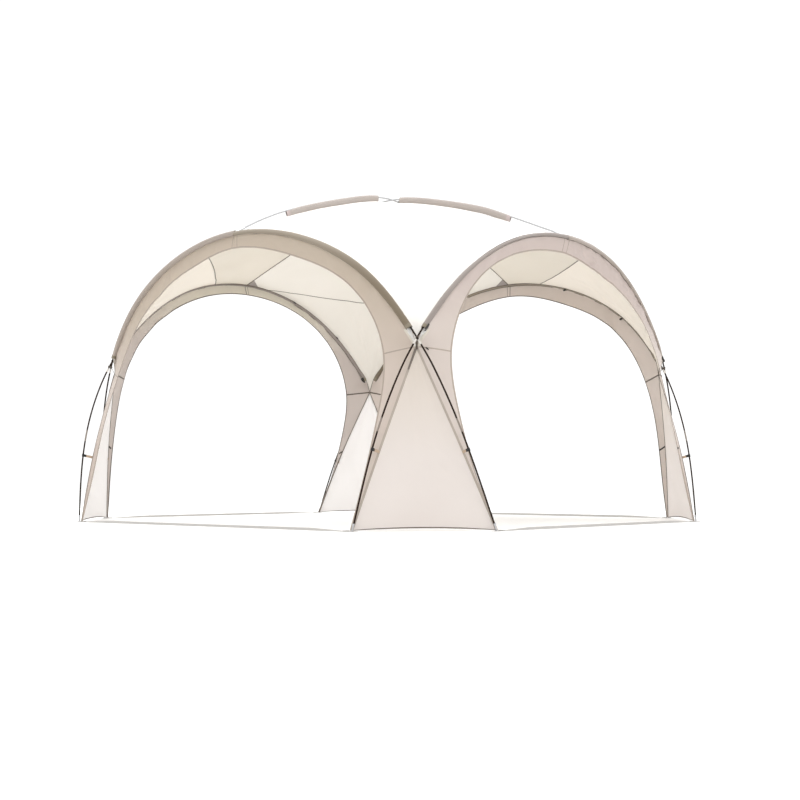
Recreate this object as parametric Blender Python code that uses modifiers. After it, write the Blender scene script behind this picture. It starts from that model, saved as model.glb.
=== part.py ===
"""Dome canopy tent: an open shelter on four legs with an arched opening in each of its four sides.

Two pairs of flexible arch poles cross above the legs, and two ridge poles join the tops of facing arches.
Four roof panels hang below the poles, a curved trim lines each opening from foot to foot, and a triangular
panel closes each leg. Sleeves hold the upper poles, hook straps and crossing ties hold the lower ones, and
webbing straps on the ground keep the feet apart.

Units are metres and +Z is up. The origin is on the ground at the middle of the footprint. The front opening
faces -Y, the back one +Y, the right one +X and the left one -X. The tent is the same on both sides of the
planes X = 0 and Y = 0, so each shape is worked out once for the front right quarter and then mirrored.
"""

import math

import bmesh
import bpy
import numpy as np
from mathutils import Matrix, Vector

# Driving dimensions of the footprint. Each leg stands on two feet.
FRONT_FOOT_X = 1.406      # the feet beside the front and back openings
SIDE_FOOT_X = 2.000       # the feet beside the right and left openings
FRONT_FOOT_Y = 1.894
SIDE_FOOT_Y = 1.237

# Where the two poles of a leg cross, on the middle line between them.
CROSS_X = 1.580
CROSS_Y = 1.494
CROSS_Z = 1.196

# Arch poles. The bow and shoulder points are half widths and heights in the plane of the arch.
FRONT_ARCH_TOP_Y = 1.595
FRONT_ARCH_TOP_Z = 2.035
FRONT_ARCH_BOW = (1.856, 0.600)
FRONT_ARCH_SHOULDERS = ((1.219, 1.620), (0.728, 1.900))
SIDE_ARCH_TOP_X = 1.679
SIDE_ARCH_TOP_Z = 2.022
SIDE_ARCH_BOW = (1.786, 0.600)
SIDE_ARCH_SHOULDERS = ((1.118, 1.620), (0.655, 1.900))

# Ridge poles, as distances from the middle of the tent and heights.
RIDGE_TOP_Z = 2.520
RIDGE_SHOULDERS = ((0.540, 2.428), (1.020, 2.292), (1.360, 2.156))

# Free edges of the opening trims above the feet: half widths, distances out from the middle and heights.
FRONT_EDGE = (
    (1.396, 1.776, 0.350), (1.410, 1.679, 0.700), (1.367, 1.575, 1.100), (1.244, 1.552, 1.360),
    (1.036, 1.554, 1.580), (0.610, 1.569, 1.790), (0.0, 1.600, 1.920),
)
SIDE_EDGE = (
    (1.276, 1.869, 0.350), (1.305, 1.774, 0.700), (1.280, 1.684, 1.117), (1.180, 1.663, 1.360),
    (0.994, 1.647, 1.580), (0.662, 1.642, 1.790), (0.0, 1.656, 1.924),
)
CROSS_SEAM_KNOT = 3       # the point of an edge, counted from the foot, at which the trim has its cross seam
TRIM_FOOT_WIDTH = 0.016   # of the trim at the foot

# Poles, sleeves and cloth.
POLE_RADIUS = 0.007
TIP_RADIUS = 0.0055
TIP_LENGTH = 0.045
TIP_LIFT = 0.0018         # keeps the low side of a slanting tip on the ground
SLEEVE_BORE_RADIUS = 0.0080
SLEEVE_WALL = 0.0085
CLOTH = 0.003
GAP = 0.0003              # clearance between faces that touch
SLEEVE_SEAM_DROP = 0.0205 # from a sleeved pole's middle line to the cloth seam under it
RIDGE_SEAM_DROP = 0.0198  # the same below a ridge pole
SEAM_TURN = 0.57          # turn of the seam under a sleeve, from the arch's inner face to its opening
SEAM_HALF_GAP = 0.6 * GAP # each cloth's own share of the clearance at a seam
CORNER_INSET = 0.038      # from the crossing in to the corner of the cloth
CORNER_DROP = 0.052       # and down to it
CROSSING_OFFSET = 0.0074  # from the crossing to each pole's middle line
SLEEVE_START = 0.080      # bare pole between a crossing and its sleeve
SLEEVE_TOP_GAP = 0.0016   # from the top of the arch to each sleeve's end, whose rims lean together
FOOT_SEAM_INSET = 0.016   # from a foot to the corner of the cloth
LEG_SEAM_PULL = 0.030     # by which the hook straps pull the leg seams out
CLOTH_FOOT_Z = 0.006
HEM_RISE = 0.013
LEG_TOP = 0.976           # part of the way up at which the leg panel ends
TAUT_ROUNDS = 60          # times that the roof cloth is evened out
RIDGE_TIP_SETBACK = 0.0176
RIDGE_POLE_STEP = 0.0074  # half the distance between the ridge poles where they cross
RIDGE_SLEEVE_ENDS = (0.123, 1.165)

# Straps and ties.
GROUND_STRAP_WIDTH = 0.025
GROUND_STRAP_THICK = 0.0026
END_TAB_LENGTH = 0.062
END_TAB_WIDTH = 0.050
END_TAB_CORNER = 0.7      # where a tab's corner is cut off, as a part of its half length and half width
EYELET_RADIUS = 0.0069
HOOK_STRAP_Z = 0.500
HOOK_STRAP_THICK = 0.0026
HOOK_STRAP_WIDTH = 0.020
HOOK_SEAM_CLEARANCE = 0.0066
TIE_HEIGHT = 0.022
TIE_WALL = 0.0025
TIE_CLEARANCE = 0.0017
TIE_CORNER_RADIUS = 0.0042
TIE_STRAP_WIDTH = 0.018
TIE_STRAP_CLEARANCE = 0.0062   # from the inner face of the cloth's corner to the strap's middle line

# How finely the curves are cut.
LOWER_STEPS = 7
BARE_RIDGE_STEPS = 6
SLEEVED_RIDGE_STEPS = 9
UPPER_STEPS = BARE_RIDGE_STEPS + SLEEVED_RIDGE_STEPS   # the roof cloth has as many rows as columns
LEG_COLUMNS = 4
ROUND_SIDES = 16
CORNER_STEPS = 3
WELD = 0.00001

INWARD = np.array([-math.sqrt(0.5), math.sqrt(0.5), 0.0])   # level, from the front right leg to the middle
CROSSING = np.array([CROSS_X, -CROSS_Y, CROSS_Z])
CLOTH_CORNER = CROSSING + CORNER_INSET * INWARD - np.array([0.0, 0.0, CORNER_DROP])

# The two feet of the front right leg, each with the direction in which its hook strap pulls the cloth.
LEG_FEET = {
    "front": ((FRONT_FOOT_X, -FRONT_FOOT_Y), (0.0, -1.0, 0.0)),
    "side": ((SIDE_FOOT_X, -SIDE_FOOT_Y), (1.0, 0.0, 0.0)),
}

QUARTERS = {
    "front_right": (1, 1),
    "front_left": (-1, 1),
    "back_right": (1, -1),
    "back_left": (-1, -1),
}


def clear_scene():
    """Removes every object of the scene the script starts in."""
    for obj in list(bpy.data.objects):
        bpy.data.objects.remove(obj, do_unlink=True)


def make_material(name, colour, roughness, metallic=0.0):
    """A finish of one colour, roughness and metallic value."""
    material = bpy.data.materials.new(name)
    material.use_nodes = True
    shader = material.node_tree.nodes["Principled BSDF"]
    shader.inputs["Base Color"].default_value = (*colour, 1.0)
    shader.inputs["Roughness"].default_value = roughness
    shader.inputs["Metallic"].default_value = metallic
    material.diffuse_color = (*colour, 1.0)
    return material


def add_object(name, data, material, parent):
    """Links a mesh or a curve into the tent's collection, under the empty at its origin."""
    obj = bpy.data.objects.new(name, data)
    bpy.data.collections["canopy_tent"].objects.link(obj)
    data.materials.append(material)
    obj.parent = parent
    return obj


def unit(vectors):
    """The vectors at a length of one."""
    return vectors / np.linalg.norm(vectors, axis=-1, keepdims=True)


def spline_through(knots, stations, along=None):
    """Natural cubic spline through the knots, read at the stations.

    The stations are measured along the straight lines between knots unless the knots' own places are given.
    """
    knots = np.asarray(knots, float)
    if along is None:
        along = run_lengths(knots)
    count = len(knots)
    spans = np.diff(along)
    slopes = np.diff(knots, axis=0) / spans[:, None]
    system = np.eye(count)
    right_side = np.zeros_like(knots)
    for i in range(1, count - 1):
        system[i, i - 1:i + 2] = spans[i - 1], 2 * (spans[i - 1] + spans[i]), spans[i]
        right_side[i] = 6 * (slopes[i] - slopes[i - 1])
    bends = np.linalg.solve(system, right_side)
    span = np.clip(np.searchsorted(along, stations, side="right") - 1, 0, count - 2)
    width = spans[span][:, None]
    before = (np.asarray(stations) - along[span])[:, None]
    after = width - before
    return (
        bends[span] * after ** 3 / (6 * width)
        + bends[span + 1] * before ** 3 / (6 * width)
        + (knots[span] / width - bends[span] * width / 6) * after
        + (knots[span + 1] / width - bends[span + 1] * width / 6) * before
    )


def run_lengths(points):
    """Distance of each point from the first, along the straight lines between them."""
    return np.concatenate([[0.0], np.cumsum(np.linalg.norm(np.diff(points, axis=0), axis=1))])


def tangents(points):
    """Unit direction of a line at each of its points."""
    return unit(np.gradient(points, axis=0))


def square_to(vectors, directions):
    """The unit part of each vector that is square to its direction."""
    along = np.sum(vectors * directions, axis=-1, keepdims=True)
    return unit(vectors - along * directions)


class Arch:
    """One arch of the front right quarter, from its foot over the crossing to its top.

    Its points are worked out for a front arch that faces -Y. A side arch is the same shape with X and -Y
    exchanged, which swap() does.
    """

    def __init__(self, side, foot, crossing, top, bow, shoulders, offset):
        self.side = side
        foot_half, foot_out = foot
        cross_half, cross_out = crossing
        top_out, top_z = top
        knots = [(foot_half, foot_out, TIP_LIFT)]
        knots.append((bow[0], self.lean(bow[1], foot_out, cross_out, 0.0, CROSS_Z), bow[1]))
        shift = offset * math.sqrt(0.5)
        knots.append((cross_half + shift, cross_out + shift, CROSS_Z))
        for half, height in shoulders:
            knots.append((half, self.lean(height, cross_out, top_out, CROSS_Z, top_z), height))
        knots.append((0.0, top_out, top_z))
        mirrored = [(-half, out, height) for half, out, height in knots[-2::-1]]
        knots = np.array(knots + mirrored)
        knots[:, 1] *= -1
        lengths = run_lengths(knots)
        at_crossing = lengths[2]
        at_top = lengths[len(shoulders) + 3]
        lower = np.linspace(TIP_LENGTH, at_crossing, LOWER_STEPS + 1)
        upper = np.linspace(at_crossing + SLEEVE_START, at_top, UPPER_STEPS + 1)
        stations = np.concatenate([[0.0], lower, upper])
        self.points = self.swap(spline_through(knots, stations))
        self.crossing_index = len(lower)
        self.face = self.swap(np.array([0.0, 1.0, 0.0]))

    @staticmethod
    def lean(height, low_out, high_out, low_z, high_z):
        """How far out a straight leaning line is at a height."""
        return low_out + (high_out - low_out) * (height - low_z) / (high_z - low_z)

    def swap(self, points):
        """Turns points of a front arch into those of a side arch where this is one."""
        if self.side == "front":
            return points
        return np.stack([-points[..., 1], -points[..., 0], points[..., 2]], axis=-1)

    def upper(self):
        """The points from the crossing to the top."""
        return self.points[self.crossing_index:]

    def crease(self):
        """The cloth seam below the upper pole: in the corner at the crossing, then under the sleeve."""
        upper = self.upper()
        direction = tangents(np.concatenate([upper, self.across(upper)[-2:-1]]))[:len(upper)]
        to_opening = np.cross(direction, self.face)
        to_opening *= -np.sign(to_opening[-1, 2])
        under = square_to(self.face + SEAM_TURN * to_opening, direction)
        seam = upper + SLEEVE_SEAM_DROP * under
        seam[0] = CLOTH_CORNER
        return seam

    def across(self, points):
        """The points on the other half of the arch."""
        return points * (np.array([-1, 1, 1]) if self.side == "front" else np.array([1, -1, 1]))

    def whole(self, half):
        """Both halves of a line that ends on the plane through the arch's top."""
        return np.concatenate([half, self.across(half)[-2::-1]])


def leg_seam(foot_name, steps_up):
    """Seam from the cloth's corner at a foot to its corner at the crossing, pulled out at the hook strap."""
    foot, pull = LEG_FEET[foot_name]
    low = np.array([*foot, CLOTH_FOOT_Z]) + FOOT_SEAM_INSET * INWARD
    share = (HOOK_STRAP_Z - CLOTH_FOOT_Z) / (CLOTH_CORNER[2] - CLOTH_FOOT_Z)
    hooked = low + share * (CLOTH_CORNER - low) + LEG_SEAM_PULL * np.array(pull)
    knots = np.array([low, hooked, CLOTH_CORNER])
    return spline_through(knots, np.asarray(steps_up) * run_lengths(knots)[-1])


def opening_edge(arch, seam, edge):
    """Free edge of a trim from the foot to the top of the opening, with as many points as its seam.

    The points below the cross seam are spaced evenly, like those of the leg seam, and the points above it
    like those of the seam under the sleeve.
    """
    foot = arch.swap(seam[0]) - np.array([TRIM_FOOT_WIDTH, 0.0, 0.0])
    half = np.array([foot] + [(width, -out, height) for width, out, height in edge])
    whole = np.concatenate([half, half[-2::-1] * np.array([-1, 1, 1])])
    lengths = run_lengths(whole)
    at_cross_seam, at_top = lengths[CROSS_SEAM_KNOT], lengths[len(half) - 1]
    crease = run_lengths(arch.crease())
    lower = np.linspace(0.0, at_cross_seam, len(seam))
    upper = at_cross_seam + (at_top - at_cross_seam) * crease[1:] / crease[-1]
    return arch.swap(spline_through(whole, np.concatenate([lower, upper])))


def ridge_line(reach, end_z, start_z, setback):
    """Ridge pole from its tip by the arch to the middle of the tent, as distances out and heights."""
    knots = [(0.0, start_z)]
    knots += [(out, height) for out, height in RIDGE_SHOULDERS]
    knots += [(reach, end_z)]
    mirrored = [(-out, height) for out, height in knots[:0:-1]]
    knots = np.array(mirrored + knots)
    inner, outer = RIDGE_SLEEVE_ENDS
    tip = reach - setback
    stations = np.concatenate([
        np.linspace(tip, outer, BARE_RIDGE_STEPS + 1),
        np.linspace(outer, inner, SLEEVED_RIDGE_STEPS + 1)[1:],
        [0.0],
    ])
    heights = spline_through(knots[:, 1:], stations, knots[:, 0])[:, 0]
    return np.stack([stations, heights], axis=1)


def taut_sheet(front_crease, side_crease, front_ridge, side_ridge):
    """Grid of points of cloth pulled taut between two arches and two ridges.

    It starts as the blend of its four edges, and each inner point is then moved to the mean of its four
    neighbours again and again, which is how a stretched skin settles.
    """
    low, high = front_crease, side_ridge[::-1]
    left, right = side_crease, front_ridge
    u = (run_lengths(low) / run_lengths(low)[-1])[:, None, None]
    v = (run_lengths(left) / run_lengths(left)[-1])[None, :, None]
    corners = (1 - u) * (1 - v) * low[0] + u * (1 - v) * low[-1] + (1 - u) * v * high[0] + u * v * high[-1]
    grid = (1 - v) * low[:, None] + v * high[:, None] + (1 - u) * left[None] + u * right[None] - corners
    for _ in range(TAUT_ROUNDS):
        mean = (grid[:-2, 1:-1] + grid[2:, 1:-1] + grid[1:-1, :-2] + grid[1:-1, 2:]) / 4
        grid[1:-1, 1:-1] = (grid[1:-1, 1:-1] + mean) / 2
    return grid


def drawn_in(grid):
    """The grid with each outer row moved in by half a gap, so that cloth on both sides of a seam is clear."""
    grid = grid.copy()
    for rows in (grid, grid[::-1], grid.transpose(1, 0, 2), grid.transpose(1, 0, 2)[::-1]):
        rows[0] += SEAM_HALF_GAP * unit(rows[1] - rows[0])
    return grid


def add_cloth(name, grid, outward, material, parent):
    """A sheet of cloth: an open grid on its inner face, thickened outwards."""
    rows, columns = grid.shape[:2]
    index = np.arange(rows * columns).reshape(rows, columns)
    quads = np.stack([index[:-1, :-1], index[1:, :-1], index[1:, 1:], index[:-1, 1:]], axis=-1).reshape(-1, 4)
    middle = grid[rows // 2, columns // 2]
    normal = np.cross(grid[rows // 2 + 1, columns // 2] - middle, grid[rows // 2, columns // 2 - 1] - middle)
    if normal @ outward > 0:
        quads = quads[:, ::-1]
    mesh = bpy.data.meshes.new(name)
    mesh.from_pydata(grid.reshape(-1, 3).tolist(), [], quads.tolist())
    mesh.shade_smooth()
    obj = add_object(name, mesh, material, parent)
    thick = obj.modifiers.new("cloth", "SOLIDIFY")
    thick.thickness = CLOTH
    thick.offset = 1.0
    return obj


def add_pole(name, points, radii, material, parent):
    """A solid pole along the points."""
    curve = bpy.data.curves.new(name, "CURVE")
    curve.dimensions = "3D"
    curve.bevel_depth = 1.0
    curve.bevel_resolution = 2
    curve.use_fill_caps = True
    line = curve.splines.new("POLY")
    line.points.add(len(points) - 1)
    for spot, point, radius in zip(line.points, points, radii):
        spot.co = (*point, 1.0)
        spot.radius = radius
    return add_object(name, curve, material, parent)


def add_sleeve(name, points, material, parent):
    """A tube of cloth around a pole: the surface of its bore, thickened outwards."""
    curve = bpy.data.curves.new(name, "CURVE")
    curve.dimensions = "3D"
    curve.bevel_depth = SLEEVE_BORE_RADIUS
    curve.bevel_resolution = 2
    curve.use_fill_caps = False
    line = curve.splines.new("POLY")
    line.points.add(len(points) - 1)
    for spot, point in zip(line.points, points):
        spot.co = (*point, 1.0)
    guide = bpy.data.objects.new(name + "_guide", curve)
    bpy.context.scene.collection.objects.link(guide)
    bpy.context.view_layer.update()
    graph = bpy.context.evaluated_depsgraph_get()
    mesh = bpy.data.meshes.new_from_object(guide.evaluated_get(graph))
    bpy.data.objects.remove(guide, do_unlink=True)
    mesh.name = name
    mesh.shade_smooth()
    obj = add_object(name, mesh, material, parent)
    thick = obj.modifiers.new("wall", "SOLIDIFY")
    thick.thickness = SLEEVE_WALL
    thick.offset = 1.0
    return obj


def circle_outline(centre, radius):
    """Outline of a round hole."""
    angles = np.arange(ROUND_SIDES) * 2 * math.pi / ROUND_SIDES
    return [(centre[0] + radius * math.cos(a), centre[1] + radius * math.sin(a)) for a in angles]


def rounded_outline(half_x, half_y, radius):
    """Outline of a rectangle with round corners."""
    outline = []
    for corner, (sign_x, sign_y) in enumerate(((1, 1), (-1, 1), (-1, -1), (1, -1))):
        for step in range(CORNER_STEPS + 1):
            angle = math.pi / 2 * (corner + step / CORNER_STEPS)
            x = sign_x * (half_x - radius) + radius * math.cos(angle)
            y = sign_y * (half_y - radius) + radius * math.sin(angle)
            outline.append((x, y))
    return outline


def add_plate(name, outlines, thickness, material, parent):
    """A flat plate: closed outlines filled where they don't overlap, with its middle plane at z = 0."""
    curve = bpy.data.curves.new(name, "CURVE")
    curve.dimensions = "2D"
    curve.fill_mode = "BOTH"
    curve.extrude = thickness / 2
    for outline in outlines:
        line = curve.splines.new("POLY")
        line.points.add(len(outline) - 1)
        for spot, (x, y) in zip(line.points, outline):
            spot.co = (x, y, 0.0, 1.0)
        line.use_cyclic_u = True
    return add_object(name, curve, material, parent)


def add_ground_strap(name, side, sign, half_length, out, material, parent):
    """Webbing on the ground between the feet of neighbouring legs, with an eyelet tab at each end."""
    half_tab = END_TAB_LENGTH / 2
    shoulder = half_length - half_tab
    taper = shoulder - END_TAB_WIDTH / 2
    quarter = [
        (half_length + half_tab, END_TAB_CORNER * END_TAB_WIDTH / 2),
        (half_length + END_TAB_CORNER * half_tab, END_TAB_WIDTH / 2),
        (shoulder, END_TAB_WIDTH / 2),
        (taper, GROUND_STRAP_WIDTH / 2),
    ]
    upper = quarter + [(-x, y) for x, y in quarter[::-1]]
    outline = upper + [(x, -y) for x, y in upper[::-1]]
    eyelets = [circle_outline((end * half_length, 0.0), EYELET_RADIUS) for end in (1, -1)]
    strap = add_plate(name, [outline] + eyelets, GROUND_STRAP_THICK, material, parent)
    if side == "front":
        strap.location = (0.0, -sign * out, GROUND_STRAP_THICK / 2)
    else:
        strap.location = (sign * out, 0.0, GROUND_STRAP_THICK / 2)
        strap.rotation_euler = (0.0, 0.0, math.pi / 2)
    return strap


def add_bar(name, start, end, width_axis, thickness, width):
    """A flat bar from start to end. Its width lies along the axis as nearly as its length allows."""
    along = unit(end - start)
    thick_axis = unit(np.cross(width_axis, along))
    bpy.ops.mesh.primitive_cube_add(size=1.0)
    bar = bpy.context.active_object
    bar.name = name
    bar.data.name = name
    bar.data.transform(Matrix.Diagonal((np.linalg.norm(end - start), thickness, width, 1.0)))
    for collection in list(bar.users_collection):
        collection.objects.unlink(bar)
    frame = Matrix((along, thick_axis, np.cross(along, thick_axis))).transposed().to_4x4()
    frame.translation = Vector((start + end) / 2)
    bar.matrix_world = frame
    return bar


def add_hook_strap(name, pole_points, foot_name, signs, material, parent):
    """Short strap from a lower pole to the leg seam beside it."""
    pole = point_at_height(pole_points, HOOK_STRAP_Z)
    seam = point_at_height(leg_seam(foot_name, np.linspace(0.0, 1.0, LOWER_STEPS + 2)), HOOK_STRAP_Z)
    along = unit(pole - seam)
    start = seam + HOOK_SEAM_CLEARANCE * along
    above = point_at_height(pole_points, HOOK_STRAP_Z + HOOK_STRAP_WIDTH / 2)
    slant = abs(float((above - pole) @ along)) / (HOOK_STRAP_WIDTH / 2)
    end = pole - (POLE_RADIUS * math.sqrt(1 + slant ** 2) + slant * HOOK_STRAP_WIDTH / 2 + GAP) * along
    upright = np.array([0.0, 0.0, 1.0])
    strap = add_bar(name, start * signs, end * signs, upright, HOOK_STRAP_THICK, HOOK_STRAP_WIDTH)
    bpy.data.collections["canopy_tent"].objects.link(strap)
    strap.data.materials.append(material)
    strap.parent = parent
    return strap


def point_at_height(points, height):
    """The point of a rising line at a height."""
    return np.array([np.interp(height, points[:, 2], points[:, axis]) for axis in range(3)])


def made_mesh(curve_obj):
    """The same piece as a mesh with its caps welded to its walls, in place of the curve."""
    bpy.context.view_layer.update()
    graph = bpy.context.evaluated_depsgraph_get()
    mesh = bpy.data.meshes.new_from_object(curve_obj.evaluated_get(graph))
    welded = bmesh.new()
    welded.from_mesh(mesh)
    bmesh.ops.remove_doubles(welded, verts=welded.verts, dist=WELD)
    welded.to_mesh(mesh)
    welded.free()
    name, place, parent = curve_obj.name, curve_obj.matrix_world.copy(), curve_obj.parent
    bpy.data.objects.remove(curve_obj, do_unlink=True)
    obj = bpy.data.objects.new(name, mesh)
    mesh.name = name
    bpy.data.collections["canopy_tent"].objects.link(obj)
    obj.parent = parent
    obj.matrix_world = place
    return obj


def add_crossing_tie(name, front_arch, side_arch, signs, material, parent):
    """Webbing loop around the two poles where they cross, with a strap down to the corner of the cloth."""
    rises = []
    for arch in (front_arch, side_arch):
        cross = arch.crossing_index
        rises.append(unit(arch.points[cross + 1] - arch.points[cross - 1]))
    up = unit(rises[0] + rises[1]) * signs
    across = unit(np.cross(up, -INWARD * signs))
    out = np.cross(across, up)
    half_out = CROSSING_OFFSET + POLE_RADIUS + TIE_CLEARANCE
    above = unit(front_arch.upper()[1] - front_arch.upper()[0]) * signs
    spread = abs(float(above @ across)) / float(above @ up)
    half_across = POLE_RADIUS * math.sqrt(1 + spread ** 2) + spread * TIE_HEIGHT / 2 + TIE_CLEARANCE
    hole = rounded_outline(half_out, half_across, TIE_CORNER_RADIUS)
    outer = rounded_outline(half_out + TIE_WALL, half_across + TIE_WALL, TIE_CORNER_RADIUS + TIE_WALL)
    loop = add_plate(name, [outer, hole], TIE_HEIGHT, material, parent)
    frame = Matrix((out, across, up)).transposed().to_4x4()
    frame.translation = Vector(CROSSING * signs)
    loop.matrix_world = frame
    tie = made_mesh(loop)
    start = CROSSING * signs - (half_out + TIE_WALL / 2) * out - TIE_HEIGHT / 4 * up
    end = (CLOTH_CORNER - TIE_STRAP_CLEARANCE * INWARD) * signs
    strap = add_bar(name + "_strap", start, end, across, TIE_WALL, TIE_STRAP_WIDTH)
    bpy.data.collections["guides"].objects.link(strap)
    strap.hide_render = True
    strap.display_type = "WIRE"
    join = tie.modifiers.new("strap", "BOOLEAN")
    join.operation = "UNION"
    join.object = strap
    return tie


def sleeve_span(points):
    """The upper pole's points from the mouth of its sleeve to just short of the top."""
    span = points[1:].copy()
    span[-1] += SLEEVE_TOP_GAP * unit(span[-2] - span[-1])
    return span


def build_arches(front, side, materials, root):
    """The four arch poles and their eight sleeves."""
    for name, arch, signs in (
        ("front", front, (1, 1)), ("back", front, (1, -1)), ("right", side, (1, 1)), ("left", side, (-1, 1)),
    ):
        flip = np.array([signs[0], signs[1], 1])
        line = arch.whole(arch.points) * flip
        radii = np.full(len(line), POLE_RADIUS)
        radii[[0, -1]] = TIP_RADIUS
        add_pole(name + "_arch_pole", line, radii, materials["pole"], root)
        upper = arch.upper()
        half = sleeve_span(upper)
        ends = ("right", "left") if arch.side == "front" else ("front", "back")
        add_sleeve(f"{name}_arch_sleeve_{ends[0]}", half * flip, materials["sleeve"], root)
        add_sleeve(f"{name}_arch_sleeve_{ends[1]}", arch.across(half) * flip, materials["sleeve"], root)


def build_ridges(ridges, materials, root):
    """The two ridge poles, which cross at the top of the tent, and their four sleeves."""
    for name, line, axis, ends in (
        ("front_to_back", ridges["front"], 1, ("front", "back")),
        ("side_to_side", ridges["side"], 0, ("right", "left")),
    ):
        half = np.zeros((len(line), 3))
        half[:, axis] = line[:, 0] * (-1 if axis == 1 else 1)
        half[:, 2] = line[:, 1]
        other = half * np.array([-1, -1, 1])
        whole = np.concatenate([half, other[-2::-1]])
        add_pole(name + "_ridge_pole", whole, np.full(len(whole), POLE_RADIUS), materials["ridge_pole"], root)
        sleeved = half[BARE_RIDGE_STEPS:BARE_RIDGE_STEPS + SLEEVED_RIDGE_STEPS + 1]
        for end, turn in zip(ends, (1, -1)):
            span = sleeved * np.array([turn, turn, 1])
            add_sleeve("ridge_sleeve_" + end, span, materials["ridge_sleeve"], root)


def ridge_seam(line, drop_at_top, corner, axis):
    """Cloth seam under a ridge pole, from the corner at the arch's top to the middle of the tent."""
    slope = np.gradient(line[:, 1], line[:, 0])
    across = np.stack([slope, -np.ones_like(slope)], axis=1)
    seam = line + RIDGE_SEAM_DROP * unit(across)
    seam[-1] = (0.0, line[-1, 1] - drop_at_top)
    points = np.zeros((len(line), 3))
    points[:, axis] = seam[:, 0] * (-1 if axis == 1 else 1)
    points[:, 2] = seam[:, 1]
    points[0] = corner
    return points


def build_cloth(front, side, ridges, materials, root):
    """Roof panels, opening trims and leg panels."""
    front_crease = front.crease()
    side_crease = side.crease()
    front_ridge = ridge_seam(ridges["front"], RIDGE_SEAM_DROP + RIDGE_POLE_STEP, front_crease[-1], 1)
    side_ridge = ridge_seam(ridges["side"], RIDGE_SEAM_DROP - RIDGE_POLE_STEP, side_crease[-1], 0)
    side_ridge[-1] = front_ridge[-1]
    roof = drawn_in(taut_sheet(front_crease, side_crease, front_ridge, side_ridge[::-1]))
    steps_up = np.linspace(0.0, 1.0, LOWER_STEPS + 2)
    front_seam = leg_seam("front", steps_up)
    side_seam = leg_seam("side", steps_up)
    for name, (sign_x, sign_y) in QUARTERS.items():
        flip = np.array([sign_x, sign_y, 1])
        outward = -INWARD * flip + np.array([0.0, 0.0, 0.5])
        add_cloth("roof_panel_" + name, roof * flip, outward + np.array([0, 0, 2.0]), materials["roof"], root)
        add_leg_panel("leg_panel_" + name, flip, materials["leg"], root)
    for arch, seam, crease, edge, names in (
        (front, front_seam, front_crease, FRONT_EDGE, ("front", "back")),
        (side, side_seam, side_crease, SIDE_EDGE, ("right", "left")),
    ):
        outer = np.concatenate([seam, crease[1:]])
        inner = opening_edge(arch, seam, edge)
        half = np.stack([outer, (outer + inner) / 2, inner], axis=1)
        trim = drawn_in(np.concatenate([half, arch.across(half)[-2::-1]]))
        flips = ((1, 1, 1), (1, -1, 1)) if arch.side == "front" else ((1, 1, 1), (-1, 1, 1))
        for name, flip in zip(names, flips):
            outward = -arch.face * np.array(flip)
            add_cloth(name + "_opening_trim", trim * np.array(flip), outward, materials["trim"], root)


def add_leg_panel(name, flip, material, root):
    """Triangular panel between the two seams of a leg, with its hem arched a little off the ground."""
    rows = np.concatenate([np.linspace(0.0, 1.0, LOWER_STEPS + 2)[:-1], [LEG_TOP]])
    front_seam = leg_seam("front", rows)
    side_seam = leg_seam("side", rows)
    across = np.linspace(0.0, 1.0, LEG_COLUMNS + 1)[None, :, None]
    grid = (1 - across) * front_seam[:, None] + across * side_seam[:, None]
    grid[0, :, 2] += HEM_RISE * 4 * across[0, :, 0] * (1 - across[0, :, 0])
    add_cloth(name, drawn_in(grid) * flip, -INWARD * flip, material, root)


def build_fittings(front, side, materials, root):
    """Ground straps, crossing ties and hook straps."""
    for name, sign in (("front", 1), ("back", -1)):
        add_ground_strap(
            name + "_ground_strap", "front", sign, FRONT_FOOT_X, FRONT_FOOT_Y, materials["webbing"], root
        )
    for name, sign in (("right", 1), ("left", -1)):
        add_ground_strap(
            name + "_ground_strap", "side", sign, SIDE_FOOT_Y, SIDE_FOOT_X, materials["webbing"], root
        )
    for name, (sign_x, sign_y) in QUARTERS.items():
        signs = np.array([sign_x, sign_y, 1])
        add_crossing_tie("crossing_tie_" + name, front, side, signs, materials["tie"], root)
        end, flank = name.split("_")
        for pole, arch, foot_name in ((end, front, "side"), (flank, side, "front")):
            lower = arch.points[:arch.crossing_index + 1]
            label = f"hook_strap_{name}_{pole}_pole"
            add_hook_strap(label, lower, foot_name, signs, materials["hook"], root)


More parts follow.
